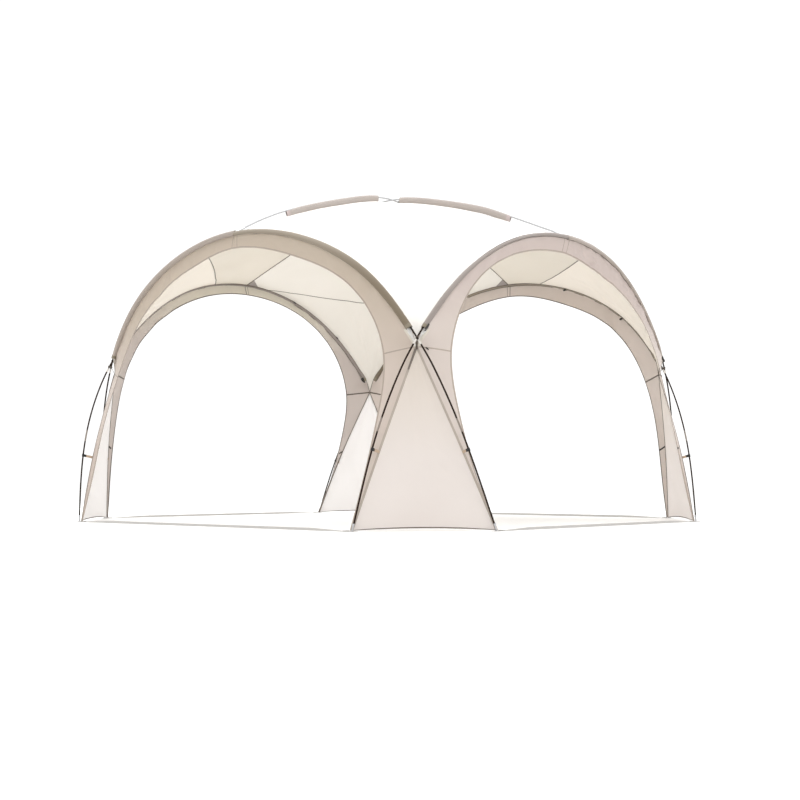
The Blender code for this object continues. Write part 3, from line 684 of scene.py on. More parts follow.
@dataclass
class Finishes:
    """Every finish of the tent, made once."""

    def __post_init__(self) -> None:
        """Makes the materials."""
        # Painted light and shade: the roof cloth's upward faces are painted darker, as in shade. The front
        # right panel's copy paints them sunlit white, and the back left panel's brighter copy paints sunlight
        # shining through it.
        roof = WovenPolyester(
            "cream_woven_polyester", "#E0DACF", "#DAD3C7", "#F0E9DE", corner="#EFE8DE", outside="#CBC4BC"
        )
        self.roof = roof.made()
        self.sunlit_roof = replace(roof, name="sunlit_cream_woven_polyester", outside="#F7F5F2").made()
        self.sunny_roof = WovenPolyester(
            "bright_cream_woven_polyester", "#E8E4DE", "#E2DED7", "#F5F1EA", translucency=0.25,
            outside="#CBC4BC",
        ).made()
        # Painted light and shade: the four trims are one cloth. Their tones stand in for how light falls on
        # each opening, darker and more olive at the shaded front and lighter and pinker on the lit right, and
        # their changes with height are painted light and shade too.
        self.end_trim = WovenPolyester(
            "khaki_woven_polyester", "#D3C7BE", "#C8BBB1", "#EDE4DC", translucency=0.25,
            higher=("#C2B5A5", 0.95, 1.55),
        ).made()
        self.flank_trim = WovenPolyester(
            "rosy_khaki_woven_polyester", "#DACFC8", "#CFC4BC", "#F0EAE5", translucency=0.20,
            higher=("#C9BBB5", 1.25, 1.62),
        ).made()
        self.left_trim = WovenPolyester(
            "grey_khaki_woven_polyester", "#CBC1BC", "#C0B6B0", "#F0EAE5", translucency=0.20,
            higher=("#DED9CC", 1.45, 1.85),
        ).made()
        self.back_trim = WovenPolyester(
            "pale_khaki_woven_polyester", "#DACFC8", "#CFC4BC", "#F0EAE5", translucency=0.20
        ).made()
        # Painted light and shade: the leg cloth turns darker further up, as painted shade. The left legs'
        # paler copy stands in for light from behind them, with painted shade on its faces that look up.
        self.leg = WovenPolyester(
            "cream_leg_polyester", "#DDD7D3", "#D5CDC8", "#FFFCFA", translucency=0.43,
            higher=("#CFC5B9", 0.45, 1.10),
        ).made()
        self.far_leg = WovenPolyester(
            "pale_leg_polyester", "#E8E4E2", "#E0DBD8", "#FFFFFF", translucency=0.45, outside="#D5CEC9"
        ).made()
        # The front sleeves turn lighter further up: painted light.
        self.end_sleeve = WovenPolyester(
            "olive_woven_polyester", "#807361", "#716553", "#B0A498", translucency=0.04,
            crease=1.2 * MM, higher=("#8D8273", 1.55, 1.90),
        ).made()
        self.flank_sleeve = WovenPolyester(
            "taupe_woven_polyester", "#9A918C", "#8A807A", "#B0A498", translucency=0.04, crease=1.2 * MM
        ).made()
        self.pale_sleeve = WovenPolyester(
            "grey_woven_polyester", "#ADA299", "#9D9289", "#C0B5AA", translucency=0.06, crease=1.2 * MM
        ).made()
        self.ridge_sleeve = WovenPolyester(
            "beige_woven_polyester", "#B3ABA5", "#A69C96", "#CFC3B9", translucency=0.06, crease=1.2 * MM
        ).made()
        self.binding = Webbing("dark_bias_tape", "#6B6258", "#574F46").made()
        # Dark piping that also paints the shade in the arch creases.
        self.crease_tape = Webbing("brown_piping", "#756B61", "#675E55").made()
        self.sleeve_seam = Webbing("brown_bias_tape", "#6A6055", "#5A5147").made()
        self.hem_tape = Webbing("taupe_hem_tape", "#B0A398", "#A5988C").made()
        self.seam_tape = Webbing("taupe_seam_tape", "#B4A99E", "#A59A90").made()
        self.roof_tape = Webbing("cream_seam_tape", "#EEE6DA", "#E6DDD0").made()
        self.leg_hem = Webbing("grey_brown_bias_tape", "#7A7169", "#6A625B").made()
        self.tie_webbing = Webbing("brown_webbing", "#5E544A", "#4C443C").made()
        self.mouth_tape = Webbing("olive_hem_tape", "#8A8070", "#7C7363").made()
        self.ridge_mouth_tape = Webbing("beige_hem_tape", "#BEB0AE", "#B2A5A2").made()
        self.dark_webbing = Webbing("black_webbing", "#3A3632", "#2C2926").made()
        self.ground_webbing = Webbing("pale_grey_webbing", "#B9B6B3", "#ACA9A6").made()
        self.tan_webbing = Webbing("tan_webbing", "#BCA690", "#AE9882").made()
        self.pole = Hard("black_glass_fibre", "#20140C", "#2A1C13", (0.45, 0.62), specular=0.12).made()
        self.ridge_pole = Hard("grey_glass_fibre", "#9C9D9F", "#ABACAE", (0.3, 0.45), coat=0.2).made()
        self.aluminium = Hard("anodised_aluminium", "#C9CACC", "#B4B5B8", (0.24, 0.4), metallic=1.0).made()
        self.joint = Hard("smoked_aluminium", "#8D837A", "#7D736A", (0.4, 0.55), specular=0.4).made()
        self.collar = Hard("moulded_white_acetal", "#D8D3CC", "#CBC6BF", (0.4, 0.58)).made()
        self.plastic = Hard("moulded_black_acetal", "#1A1918", "#262423", (0.4, 0.58), specular=0.35).made()
        self.grey_plastic = Hard("moulded_grey_acetal", "#B3AFAB", "#A5A19D", (0.45, 0.6)).made()


def add_piece(
    name: str, shape: Shape, material: bpy.types.Material, stands_for: Sequence[str] = (),
) -> bpy.types.Object:
    """Puts a shape into the scene as a piece of the tent.

    Args:
        name: the piece's name.
        shape: its closed mesh.
        material: its finish.
        stands_for: the CAD nodes that it is shown in place of.

    Returns:
        The piece.
    """
    mesh = bpy.data.meshes.new(name)
    faces = shape.quads.tolist() + [cap.tolist() for cap in shape.caps]
    mesh.from_pydata(shape.points.tolist(), [], faces)
    places = np.zeros((len(mesh.loops), 2), np.float32)
    flat = shape.places.reshape(-1, 2)
    places[:len(flat)] = flat
    mesh.uv_layers.new(name="cloth").data.foreach_set("uv", places.ravel())
    mesh.shade_smooth()
    mesh.set_sharp_from_angle(angle=math.radians(SHARP_ANGLE))
    mesh.materials.append(material)
    piece = bpy.data.objects.new(name, mesh)
    bpy.context.scene.collection.objects.link(piece)
    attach(piece, "root")
    if stands_for:
        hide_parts(*stands_for)
    LOG.info("%s: %d faces", name, len(faces))
    return piece


# The tent's lines


@dataclass(frozen=True)
class ArchLine:
    """One arch of the front right quarter, from its foot over the crossing to its top.

    A front arch is worked out facing -Y, and a flank arch is the same with X and -Y exchanged.
    """

    side: Side
    foot: Pair                     # half width and distance out
    crossing: Pair
    top: Pair                      # distance out and height
    bow: Pair                      # half width and height
    shoulders: tuple[Pair, ...]
    offset: float                                 # of the middle line from the crossing
    cross_height: float = 1.196
    foot_lift: float = 0.0018
    tip_length: float = 0.045
    sleeve_start: float = 0.080
    steps: int = 15
    seam_drop: float = 0.0205
    seam_turn: float = 0.57

    def swap(self, points: Array) -> Array:
        """Turns points of a front arch into those of a flank arch where this is one."""
        if self.side is Side.FRONT:
            return points
        return np.stack([-points[..., 1], -points[..., 0], points[..., 2]], axis=-1)

    def across(self, points: Array) -> Array:
        """The points on the other half of the arch."""
        return points * (np.array([-1, 1, 1]) if self.side is Side.FRONT else np.array([1, -1, 1]))

    @property
    def face(self) -> Array:
        """Level direction from the opening into the tent."""
        return self.swap(np.array([0.0, 1.0, 0.0]))

    def lean(self, height: float, low: Pair, high: Pair) -> float:
        """How far out a straight line between two (distance out, height) points is at a height."""
        return low[0] + (high[0] - low[0]) * (height - low[1]) / (high[1] - low[1])

    def knots(self) -> Array:
        """The points that the whole arch's middle line is a natural spline through."""
        shift = self.offset * math.sqrt(0.5)
        foot, cross = (self.foot[1], 0.0), (self.crossing[1], self.cross_height)
        half = [(self.foot[0], self.foot[1], self.foot_lift)]
        half.append((self.bow[0], self.lean(self.bow[1], foot, cross), self.bow[1]))
        half.append((self.crossing[0] + shift, self.crossing[1] + shift, self.cross_height))
        half += [(width, self.lean(height, cross, self.top), height) for width, height in self.shoulders]
        half.append((0.0, *self.top))
        whole = np.array(half + [(-width, out, height) for width, out, height in half[-2::-1]])
        return self.swap(whole * np.array([1, -1, 1]))

    def marks(self) -> Pair:
        """Distances along the arch at which it passes the crossing and its top."""
        lengths = run_lengths(self.knots())
        return lengths[2], lengths[len(self.shoulders) + 3]

    def middle_line(self, stations: Array) -> Array:
        """The pole's middle line at distances along the arch."""
        knots = self.knots()
        return natural_spline(knots, stations, run_lengths(knots))

    def upper_stations(self) -> Array:
        """Distances along the arch of the crossing and of the steps from the sleeve's mouth to the top."""
        at_crossing, at_top = self.marks()
        sleeved = np.linspace(at_crossing + self.sleeve_start, at_top, self.steps + 1)
        return np.append(at_crossing, sleeved)

    def crease(self, corner: Array) -> Array:
        """The cloth's seam at the upper stations: in the corner, then below the sleeve on the inner side."""
        upper = self.middle_line(self.upper_stations())
        direction = tangents(np.concatenate([upper, self.across(upper)[-2:-1]]))[:len(upper)]
        to_opening = np.cross(direction, self.face)
        to_opening *= -np.sign(to_opening[-1, 2])
        under = square_to(self.face + self.seam_turn * to_opening, direction)
        seam = upper + self.seam_drop * under
        seam[0] = corner
        return seam


@dataclass(frozen=True)
class EdgeLine:
    """Free edge of an opening: half widths, distances out and heights of its points above the foot."""

    knots: tuple[Triple, ...]
    cross_seam: int = 3                # which point, counted from the foot, has the cross seam
    foot_width: float = 0.016

    def line(self, arch: ArchLine, foot: Array, lower: int, share: Array) -> Array:
        """Natural spline from the foot over the cross seam to the top.

        Args:
            arch: the arch over the opening.
            foot: the leg seam's lowest point.
            lower: how many points lie from the foot to the cross seam.
            share: how far along the part above the cross seam each further point lies.

        Returns:
            The points.
        """
        start = arch.swap(foot) - np.array([self.foot_width, 0.0, 0.0])
        half = np.array([start] + [(width, -out, height) for width, out, height in self.knots])
        whole = np.concatenate([half, half[-2::-1] * np.array([-1, 1, 1])])
        lengths = run_lengths(whole)
        at_seam, at_top = lengths[self.cross_seam], lengths[len(half) - 1]
        above = at_seam + (at_top - at_seam) * share[1:]
        stations = np.append(np.linspace(0.0, at_seam, lower), above)
        return arch.swap(natural_spline(whole, stations, lengths))


@dataclass
class TentLines:
    """The driving sizes of the tent, as in its CAD source, and the lines that every piece follows."""

    front_foot: Pair = (1.406, 1.894)
    flank_foot: Pair = (2.000, 1.237)
    crossing: Triple = (1.580, 1.494, 1.196)
    crossing_offset: float = 0.0074
    front_top: Pair = (1.595, 2.035)
    flank_top: Pair = (1.679, 2.022)
    ridge_top: float = 2.520
    ridge_shoulders: tuple[Pair, ...] = ((0.540, 2.428), (1.020, 2.292), (1.360, 2.156))
    ridge_step: float = 0.0074
    ridge_setback: float = 0.0176
    ridge_drop: float = 0.0350         # of the roof's seam below a ridge pole
    ridge_sag: float = 0.007           # and further down near the ridge sleeves' outer ends
    ridge_sleeve: Pair = (0.123, 1.165)
    corner_inset: float = 0.038
    corner_drop: float = 0.052
    foot_inset: float = 0.016
    foot_height: float = 0.006
    seam_pull: float = 0.028           # by which the hook straps pull the leg seams out
    near_pull: float = 0.006           # and on the front right leg
    hook_height: float = 0.500
    straighter: float = 0.019          # by which the front right leg's poles bow less than the others
    straight_height: float = 1.050
    pocket_out: float = 0.024          # by which a sleeve carries the trim's start outwards
    lower_steps: int = 8
    bare_steps: int = 6
    sleeved_steps: int = 9
    pieces: int = 8                    # fine steps in each step of the CAD source
    taut_rounds: int = 60

    def __post_init__(self) -> None:
        """Works out the lines."""
        x, y, z = self.crossing
        self.centre = np.array([x, -y, z])
        self.corner = self.centre + self.corner_inset * INWARD - self.corner_drop * UP
        self.front = ArchLine(
            Side.FRONT, self.flank_foot, (x, y), self.front_top, (1.856, 0.600),
            ((1.219, 1.620), (0.728, 1.900)), -self.crossing_offset,
        )
        self.flank = ArchLine(
            Side.FLANK, self.front_foot[::-1], (y, x), self.flank_top, (1.786, 0.600),
            ((1.118, 1.620), (0.655, 1.900)), self.crossing_offset,
        )
        self.edges = {
            Side.FRONT: EdgeLine((
                (1.396, 1.776, 0.350), (1.410, 1.679, 0.700), (1.367, 1.575, 1.100), (1.244, 1.552, 1.360),
                (1.036, 1.554, 1.580), (0.610, 1.569, 1.790), (0.0, 1.600, 1.920),
            )),
            Side.FLANK: EdgeLine((
                (1.276, 1.869, 0.350), (1.305, 1.774, 0.700), (1.280, 1.684, 1.117), (1.180, 1.663, 1.360),
                (0.994, 1.647, 1.580), (0.662, 1.642, 1.790), (0.0, 1.656, 1.924),
            )),
        }
        self.ridges = {
            Side.FRONT: self.ridge_line(self.front_top, self.ridge_top + self.ridge_step),
            Side.FLANK: self.ridge_line(self.flank_top, self.ridge_top - self.ridge_step),
        }
        self.creases = {side: self.arch(side).crease(self.corner) for side in Side}
        self.roof = self.fine_roof()

    def arch(self, side: Side) -> ArchLine:
        """The arch of a kind."""
        return self.front if side is Side.FRONT else self.flank

    def lower_bow(self, side: Side, points: Array, mirrored: bool, opening: Opening) -> Array:
        """Points on an arch, made to bow less between the ground and the crossing at the front right leg.

        The photo shows that leg's two poles straighter than the others': by straighter*sin(pi*z/height).
        """
        if mirrored or opening not in (Opening.FRONT, Opening.RIGHT):
            return points
        share = np.clip(points[:, 2:] / self.straight_height, 0.0, 1.0)
        along = np.array([-1.0, 0.0, 0.0]) if side is Side.FRONT else np.array([0.0, 1.0, 0.0])
        return points + self.straighter * np.sin(math.pi * share) * along

    def ridge_line(self, top: Pair, middle: float) -> Array:
        """Ridge pole from its tip to the middle: a natural spline, as distances out and heights."""
        knots = [(0.0, middle), *self.ridge_shoulders, top]
        table = np.array([(-out, height) for out, height in knots[:0:-1]] + knots)
        inner, outer = self.ridge_sleeve
        stations = np.concatenate([
            np.linspace(top[0] - self.ridge_setback, outer, self.bare_steps + 1),
            np.linspace(outer, inner, self.sleeved_steps + 1)[1:], [0.0],
        ])
        return np.stack([stations, natural_spline(table[:, 1], stations, table[:, 0])], axis=1)

    def stand(self, side: Side, line: Array) -> Array:
        """A ridge's distances out and heights as points of the front or the right half."""
        points = np.zeros((len(line), 3))
        if side is Side.FRONT:
            points[:, 1] = -line[:, 0]
        else:
            points[:, 0] = line[:, 0]
        points[:, 2] = line[:, 1]
        return points

    def ridge_seam(self, side: Side) -> Array:
        """The cloth's seam below a ridge pole: a drop square to the pole, less towards the arch."""
        line = self.ridges[side]
        slope = np.gradient(line[:, 1], line[:, 0])
        outer = self.ridge_sleeve[1]
        share = np.clip((line[:, 0] - outer) / (line[0, 0] - outer), 0.0, 1.0)
        drop = self.ridge_drop + self.ridge_sag * np.exp(-((line[:, 0] - 1.05) / 0.25) ** 2)
        drop = drop + (self.arch(side).seam_drop - drop) * share ** 2 * (3 - 2 * share)
        seam = line + drop[:, None] * unit(np.stack([slope, -np.ones_like(slope)], axis=1))
        points = self.stand(side, seam)
        points[0] = self.creases[side][-1]
        points[-1] = (0.0, 0.0, self.ridge_top - self.ridge_drop)
        return points

    def fine_roof(self) -> Array:
        """The roof cloth of the front right quarter, rows along the front arch, columns along the flank one.

        It starts as the blend of its four edges, settles as a stretched skin does, each point moving to the
        mean of its neighbours again and again, and is then read finely on natural splines both ways.
        """
        low, left = self.creases[Side.FRONT], self.creases[Side.FLANK]
        right, high = self.ridge_seam(Side.FRONT), self.ridge_seam(Side.FLANK)
        u = (run_lengths(low) / run_lengths(low)[-1])[:, None, None]
        v = (run_lengths(left) / run_lengths(left)[-1])[None, :, None]
        corners = (
            (1 - u) * (1 - v) * low[0] + u * (1 - v) * low[-1] + (1 - u) * v * high[0] + u * v * high[-1]
        )
        grid = (1 - v) * low[:, None] + v * high[:, None] + (1 - u) * left[None] + u * right[None] - corners
        for _ in range(self.taut_rounds):
            mean = (grid[:-2, 1:-1] + grid[2:, 1:-1] + grid[1:-1, :-2] + grid[1:-1, 2:]) / 4
            grid[1:-1, 1:-1] = (grid[1:-1, 1:-1] + mean) / 2
        for side in (Side.FRONT, Side.FLANK):
            stations = self.arch(side).upper_stations()
            grid = natural_spline(grid, cut_finer(stations, self.pieces), stations)
            grid = grid.transpose(1, 0, 2)
        return grid

    def fine_crease(self, side: Side) -> Array:
        """The seam along an arch, from the corner to the top, as the roof has it."""
        return self.roof[:, 0] if side is Side.FRONT else self.roof[0]

    def fine_upper(self, side: Side) -> Array:
        """The pole's middle line at the same places as the fine seam along it."""
        arch = self.arch(side)
        return arch.middle_line(cut_finer(arch.upper_stations(), self.pieces))

    def fine_ridge(self, side: Side) -> tuple[Array, Array]:
        """A ridge pole's middle line from its tip to the middle, and the seam below it."""
        other = self.arch(Side.FLANK if side is Side.FRONT else Side.FRONT).upper_stations()
        line = natural_spline(self.stand(side, self.ridges[side]), cut_finer(other, self.pieces), other)
        return line, self.roof[-1] if side is Side.FRONT else self.roof[:, -1]

    def leg_seam(self, side: Side, steps_up: Array, near: bool = False) -> Array:
        """Seam from the cloth's corner at a foot to its corner at the crossing, pulled out at the hook strap.

        Args:
            side: FRONT for the seam beside the front opening, FLANK for the one beside the flank opening.
            steps_up: shares of the way up.
            near: whether it is on the front right leg, whose straighter poles pull its seams out less.

        Returns:
            The points.
        """
        foot = self.front_foot if side is Side.FRONT else self.flank_foot
        out = np.array([0.0, -1.0, 0.0]) if side is Side.FRONT else np.array([1.0, 0.0, 0.0])
        low = np.array([foot[0], -foot[1], self.foot_height]) + self.foot_inset * INWARD
        share = (self.hook_height - self.foot_height) / (self.corner[2] - self.foot_height)
        pull = self.near_pull if near else self.seam_pull
        hooked = low + share * (self.corner - low) + pull * out
        knots = np.array([low, hooked, self.corner])
        lengths = run_lengths(knots)
        return natural_spline(knots, np.asarray(steps_up) * lengths[-1], lengths)

    def trim(self, side: Side, columns: int, near: bool = False, plain: bool = False) -> Array:
        """Half of an opening's trim, from the foot to the top.

        It is straight lines from its seam to its free edge. Above the crossing the sleeve that lies over its
        start carries it outwards: by nothing at the seam, by all of pocket_out 14 mm away from it, and from
        there by (1 - share of the way over)^1.6 of that.

        Args:
            side: the kind of opening.
            columns: how many points lie across it.
            near: whether it is beside the front right leg.
            plain: whether its sleeve hangs straight down, and carries it nowhere.

        Returns:
            Rows from the foot to the top, columns from the seam to the free edge.
        """
        arch = self.arch(side)
        lower = self.lower_steps * self.pieces + 1
        seam = self.leg_seam(side, np.linspace(0.0, 1.0, lower), near)
        stations = arch.upper_stations()
        share = run_lengths(self.creases[side])
        fine = np.interp(cut_finer(stations, self.pieces), stations, share / share[-1])
        outer = np.concatenate([seam, self.fine_crease(side)[1:]])
        inner = self.edges[side].line(arch, seam[0], lower, fine)
        over = np.linspace(0.0, 1.0, columns)[None, :, None]
        grid = (1 - over) * outer[:, None] + over * inner[:, None]
        away = np.linalg.norm(grid - grid[:, :1], axis=-1, keepdims=True)
        risen = np.clip((np.arange(len(grid)) - lower + 1) / self.pieces, 0.0, 1.0)[:, None, None]
        carried = risen ** 2 * (3 - 2 * risen) * np.minimum(away / 0.014, 1.0) * (1 - over) ** 1.6
        return grid - (0.0 if plain else self.pocket_out) * carried * arch.face


# The cloth


@dataclass
class Work:
    """What every class that adds pieces of the tent holds."""

    lines: TentLines
    finishes: Finishes


@dataclass(frozen=True)
class CrossSeam:
    """A roof panel's cross seam.

    Attributes:
        front: share along the front arch's seam, from the crossing to the top, where it starts.
        flank: share along the flank arch's seam where it ends.
        bulge: how far it bends towards the middle of the roof.
    """

    front: float
    flank: float
    bulge: float

    def shares(self, count: int) -> tuple[Array, Array]:
        """Shares along the panel's rows and columns that the seam follows."""
        along = np.linspace(0.0, 1.0, count)
        bend = self.bulge * along * (1 - along)
        return self.front * (1 - along) + bend, self.flank * along + bend

    def corner_side(self, rows: int, columns: int) -> Array:
        """How far each point of a panel's grid lies past the seam, in shares; negative before it."""
        u, v = np.meshgrid(np.linspace(0.0, 1.0, rows), np.linspace(0.0, 1.0, columns), indexing="ij")
        along = np.clip(v / self.flank, 0.0, 1.0)
        bend = self.bulge * along * (1 - along)
        return 1 + bend * (1 / self.front + 1 / self.flank) - u / self.front - v / self.flank


CROSS_SEAMS = {
    Quarter.FRONT_RIGHT: CrossSeam(0.80, 0.80, 0.05),
    Quarter.FRONT_LEFT: CrossSeam(0.76, 0.80, 0.19),
    Quarter.BACK_RIGHT: CrossSeam(0.82, 0.81, 0.03),
    Quarter.BACK_LEFT: CrossSeam(0.68, 0.86, -0.13),
}


@dataclass
class RoofCloth(Work):
    """The four roof panels with their cross seams, and patches at the tops of the arches."""

    lift: float = 1.5 * MM         # of the cloth's middle from the seams' plane
    patch_along: float = 0.075             # shares of the arch's and the ridge's seam that a patch covers
    patch_up: float = 0.066
    patched: tuple[Quarter, ...] = (Quarter.BACK_LEFT, Quarter.FRONT_RIGHT)

    def panel(self, quarter: Quarter) -> Array:
        """One panel with its folds: its middle sags, and folds run from the leg's corner over the panel."""
        grid = self.lines.roof * quarter.signs
        places = grid_places(grid)
        normals = facing_normals(grid, UP)
        seed = 20 + list(Quarter).index(quarter)
        rows, columns = grid.shape[:2]
        u = np.linspace(0.0, 1.0, rows)[:, None]
        v = np.linspace(0.0, 1.0, columns)[None, :]
        rim = np.minimum(np.minimum(u, 1 - u), np.minimum(v, 1 - v))
        inside = np.clip(rim / 0.10, 0.0, 1.0) ** 0.8
        radial = np.hypot(u, v)
        spokes = np.arctan2(v, u + 1e-6) * 1.1
        from_corner = np.stack(np.broadcast_arrays(spokes, 0.15 * radial), axis=-1)
        pull = Folds(0.24, 5.5 * MM, 0.0, seed, spread=0.15).at(from_corner)
        pull = pull * np.exp(-((radial - 0.28) / 0.30) ** 2)
        slack = Folds(0.30, 3.0 * MM, 0.7, seed + 10, spread=0.9).at(places)
        pucker = Folds(0.075, 1.3 * MM, 0.0, seed + 20, spread=1.6).at(places)
        near_rim = np.exp(-(rim / 0.05) ** 2)
        height = inside * (pull + slack) + np.clip(rim / 0.012, 0, 1) * near_rim * pucker
        return grid + (self.lift + height)[..., None] * normals

    def patch(self, grid: Array, side: Side) -> Shape:
        """Three-cornered patch of trim cloth under a panel's corner at the top of an arch."""
        along, up = np.meshgrid(np.linspace(0.0, 1.0, 9), np.linspace(0.0, 0.97, 9), indexing="ij")
        on_arch, on_ridge = 1 - self.patch_along * along * (1 - up), self.patch_up * up
        u, v = (on_arch, on_ridge) if side is Side.FRONT else (on_ridge, on_arch)
        places = read_grid(grid, u, v)
        return closed_sheet(places + 1.6 * MM * facing_normals(places, -UP), 0.8 * MM)

    def build(self) -> None:
        """Adds the panels and what is sewn to them."""
        inner, outer, patches = [], [], []
        # The front right and back left panels take the copies with painted sunlight.
        own = {Quarter.BACK_LEFT: self.finishes.sunny_roof, Quarter.FRONT_RIGHT: self.finishes.sunlit_roof}
        for quarter in Quarter:
            grid = self.panel(quarter)
            piece = add_piece(
                f"roof_cloth_{quarter.label}", closed_sheet(grid, 2 * CLOTH_HALF),
                own.get(quarter, self.finishes.roof), [f"roof_panel_{quarter.label}"],
            )
            past = np.tile(CROSS_SEAMS[quarter].corner_side(*grid.shape[:2]).ravel(), 2)
            piece.data.attributes.new("corner_side", "FLOAT", "POINT").data.foreach_set("value", past)
            width, length = run_lengths(self.lines.fine_crease(Side.FRONT))[-1], run_lengths(grid[0])[-1]
            u, v = CROSS_SEAMS[quarter].shares(120)
            inner.append(tape_on(grid, u, v, -UP, 7.5 * MM, 1.2 * MM))
            outer.append(tape_on(grid, u, v, UP, 11.0 * MM, 0.6 * MM))
            if quarter in self.patched:
                patches += [self.patch(grid, side) for side in Side]
        add_piece("roof_cross_seams_inside", joined(inner), self.finishes.binding)
        add_piece("roof_cross_seams_outside", joined(outer), self.finishes.roof_tape)
        add_piece("arch_top_patches", joined(patches), self.finishes.flank_sleeve)


@dataclass(frozen=True)
class Slack:
    """How far the free edge of half a trim hangs below its drawn line.

    Attributes:
        depth: the most that it hangs.
        place: where, as a share of the way from the foot to the top.
        spread: half the length of that place.
        crumple: height of the extra wrinkles there.
        slant: direction across those wrinkles, from along the strip to over it.
    """

    depth: float = 0.0
    place: float = 0.8
    spread: float = 0.2
    crumple: float = 0.0
    slant: float = 0.45

    def at(self, along: Array) -> Array:
        """Share of the slack at shares of the way up."""
        return np.exp(-((along - self.place) / self.spread) ** 2)


@dataclass
class OpeningTrims(Work):
    """The curved strip round each opening, its hemmed free edge, cross seams and webbing bands."""

    columns: int = 15
    lift: float = 1.5 * MM
    seam_row: int = 64                 # the row, counted from the foot, at the cross seam
    band_height: float = 0.59          # of the lower webbing bands above the ground
    slacks: dict[tuple[Opening, bool], Slack] = field(default_factory=lambda: {
        (Opening.RIGHT, False): Slack(0.022, 1.0, 0.22),
        (Opening.RIGHT, True): Slack(0.050, 0.80, 0.22, 9.0 * MM, 1.30),
        (Opening.FRONT, True): Slack(-0.015, 0.735, 0.07, 2.5 * MM),
    })

    def half(self, opening: Opening, mirrored: bool, seed: int) -> Array:
        """One half of a trim with its folds, from the foot to the top.

        Slanting folds cross the strip, strongest over the shoulder, and short puckers follow the seam.
        """
        arch = self.lines.arch(opening.side)
        near = not mirrored and opening in (Opening.FRONT, Opening.RIGHT)
        grid = self.lines.trim(opening.side, self.columns, near, mirrored and opening is Opening.FRONT)
        if mirrored:
            grid = arch.across(grid)
        grid = grid * opening.signs
        places = grid_places(grid)
        normals = facing_normals(grid, -arch.face * opening.signs)
        over = np.linspace(0.0, 1.0, self.columns)[None, :]
        along = np.linspace(0.0, 1.0, len(grid))[:, None]
        held = np.clip(over / 0.15, 0, 1) * (1 - 0.7 * over ** 4)
        shoulder = np.exp(-((along - 0.55) / 0.22) ** 2)
        ends = np.clip((1 - along) / 0.04, 0, 1) * np.clip(along / 0.02, 0, 1)
        slanted = Folds(0.16, 6.0 * MM, 0.65, seed, spread=0.25).at(places)
        small = Folds(0.070, 1.6 * MM, 0.25, seed + 1, spread=0.5).at(places)
        lower = np.clip(1.6 * along - 0.1, 0.15, 1.0)
        height = ends * held * lower * ((0.35 + shoulder) * slanted + small)
        bulge = 0.012 * np.sin(math.pi * over) * np.clip(along / 0.3, 0, 1)
        slack = self.slacks.get((opening, mirrored), Slack())
        wrinkles = Folds(0.065, slack.crumple, slack.slant, seed + 2, spread=0.22).at(places)
        wrinkles += Folds(0.035, 0.4 * slack.crumple, 0.7 * slack.slant, seed + 3, spread=0.6).at(places)
        height = height + ends * held * slack.at(along) * wrinkles
        down = unit(grid[:, -1:] - grid[:, :1]) * (slack.depth * slack.at(along) * over ** 1.5)[..., None]
        return grid + down + (self.lift + height + 0.4 * bulge)[..., None] * normals

    def build(self) -> None:
        """Adds the trims and what is sewn to them."""
        hems, edges, outer, inner, bands = [], [], [], [], []
        # Each opening's trim takes its own tone of painted light and shade.
        trims = {
            Opening.FRONT: self.finishes.end_trim, Opening.BACK: self.finishes.back_trim,
            Opening.RIGHT: self.finishes.flank_trim, Opening.LEFT: self.finishes.left_trim,
        }
        for number, opening in enumerate(Opening):
            seeds = (200 + 10 * number, 205 + 10 * number)
            halves = [self.half(opening, mirrored, seeds[mirrored]) for mirrored in (False, True)]
            halves[1][-1] = halves[0][-1]
            whole = np.concatenate([halves[0], halves[1][-2::-1]])
            outward = -self.lines.arch(opening.side).face * opening.signs
            piece = add_piece(
                f"{opening.label}_trim_cloth", closed_sheet(whole, 2 * CLOTH_HALF), trims[opening],
                [f"{opening.label}_opening_trim"],
            )
            breadth = np.linalg.norm(whole[:, 0] - whole[:, -1], axis=-1)
            run_lengths(whole[:, 0])[-1]
            rows = np.linspace(0.0, 1.0, len(whole))
            hems.append(tape_on(whole, rows, self.near_edge(breadth, 0.0060), outward, 0.0100, 0.0008))
            edges.append(tape_on(whole, rows, self.near_edge(breadth, 0.0038), -outward, 0.0068, 0.0012))
            for half in halves:
                outer.append(self.across_tape(half, self.seam_row, outward, 0.008, 0.0010))
                inner.append(self.across_tape(half, self.seam_row, -outward, 0.011, 0.0016))
                row = int(np.argmin(np.abs(half[:self.seam_row, 0, 2] - self.band_height)))
                reach = 0.97 if opening.side is Side.FRONT else 0.62
                bands.append(self.across_tape(half, row, -outward, 0.012, 0.0016, reach))
                if half is halves[1] and opening is Opening.RIGHT:
                    bands.append(self.across_tape(half, row, outward, 0.014, 0.0018, start=0.70))
                outer.append(self.across_tape(half, len(half) - 3, outward, 0.005, 0.0010))
            inner.append(self.across_tape(halves[0], len(halves[0]) - 1, -outward, 0.0055, 0.0012))
            inner.append(self.across_tape(halves[1], len(halves[1]) - 3, -outward, 0.0030, 0.0010))
        add_piece("opening_hems", joined(hems), self.finishes.hem_tape)
        add_piece("opening_edge_bindings", joined(edges), self.finishes.binding)
        add_piece("trim_seams_outside", joined(outer), self.finishes.hem_tape)
        add_piece("trim_top_seams_inside", joined(inner), self.finishes.binding)
        add_piece("trim_webbing_bands", joined(bands), self.finishes.dark_webbing)

    def near_edge(self, breadth: Array, inset: float) -> Array:
        """Shares across a trim of a line at a distance in from its free edge."""
        return np.clip(1 - inset / breadth, 0.3, 1.0)

    def across_tape(
        self, half: Array, row: int, face: Array, width: float, thick: float, reach: float = 0.985,
        start: float = 0.015,
    ) -> Shape:
        """Tape straight over a trim at one of its rows, between two shares of its breadth."""
        shares = np.linspace(start, reach, 24)
        return tape_on(half, np.full(24, row / (len(half) - 1)), shares, face, width, thick)


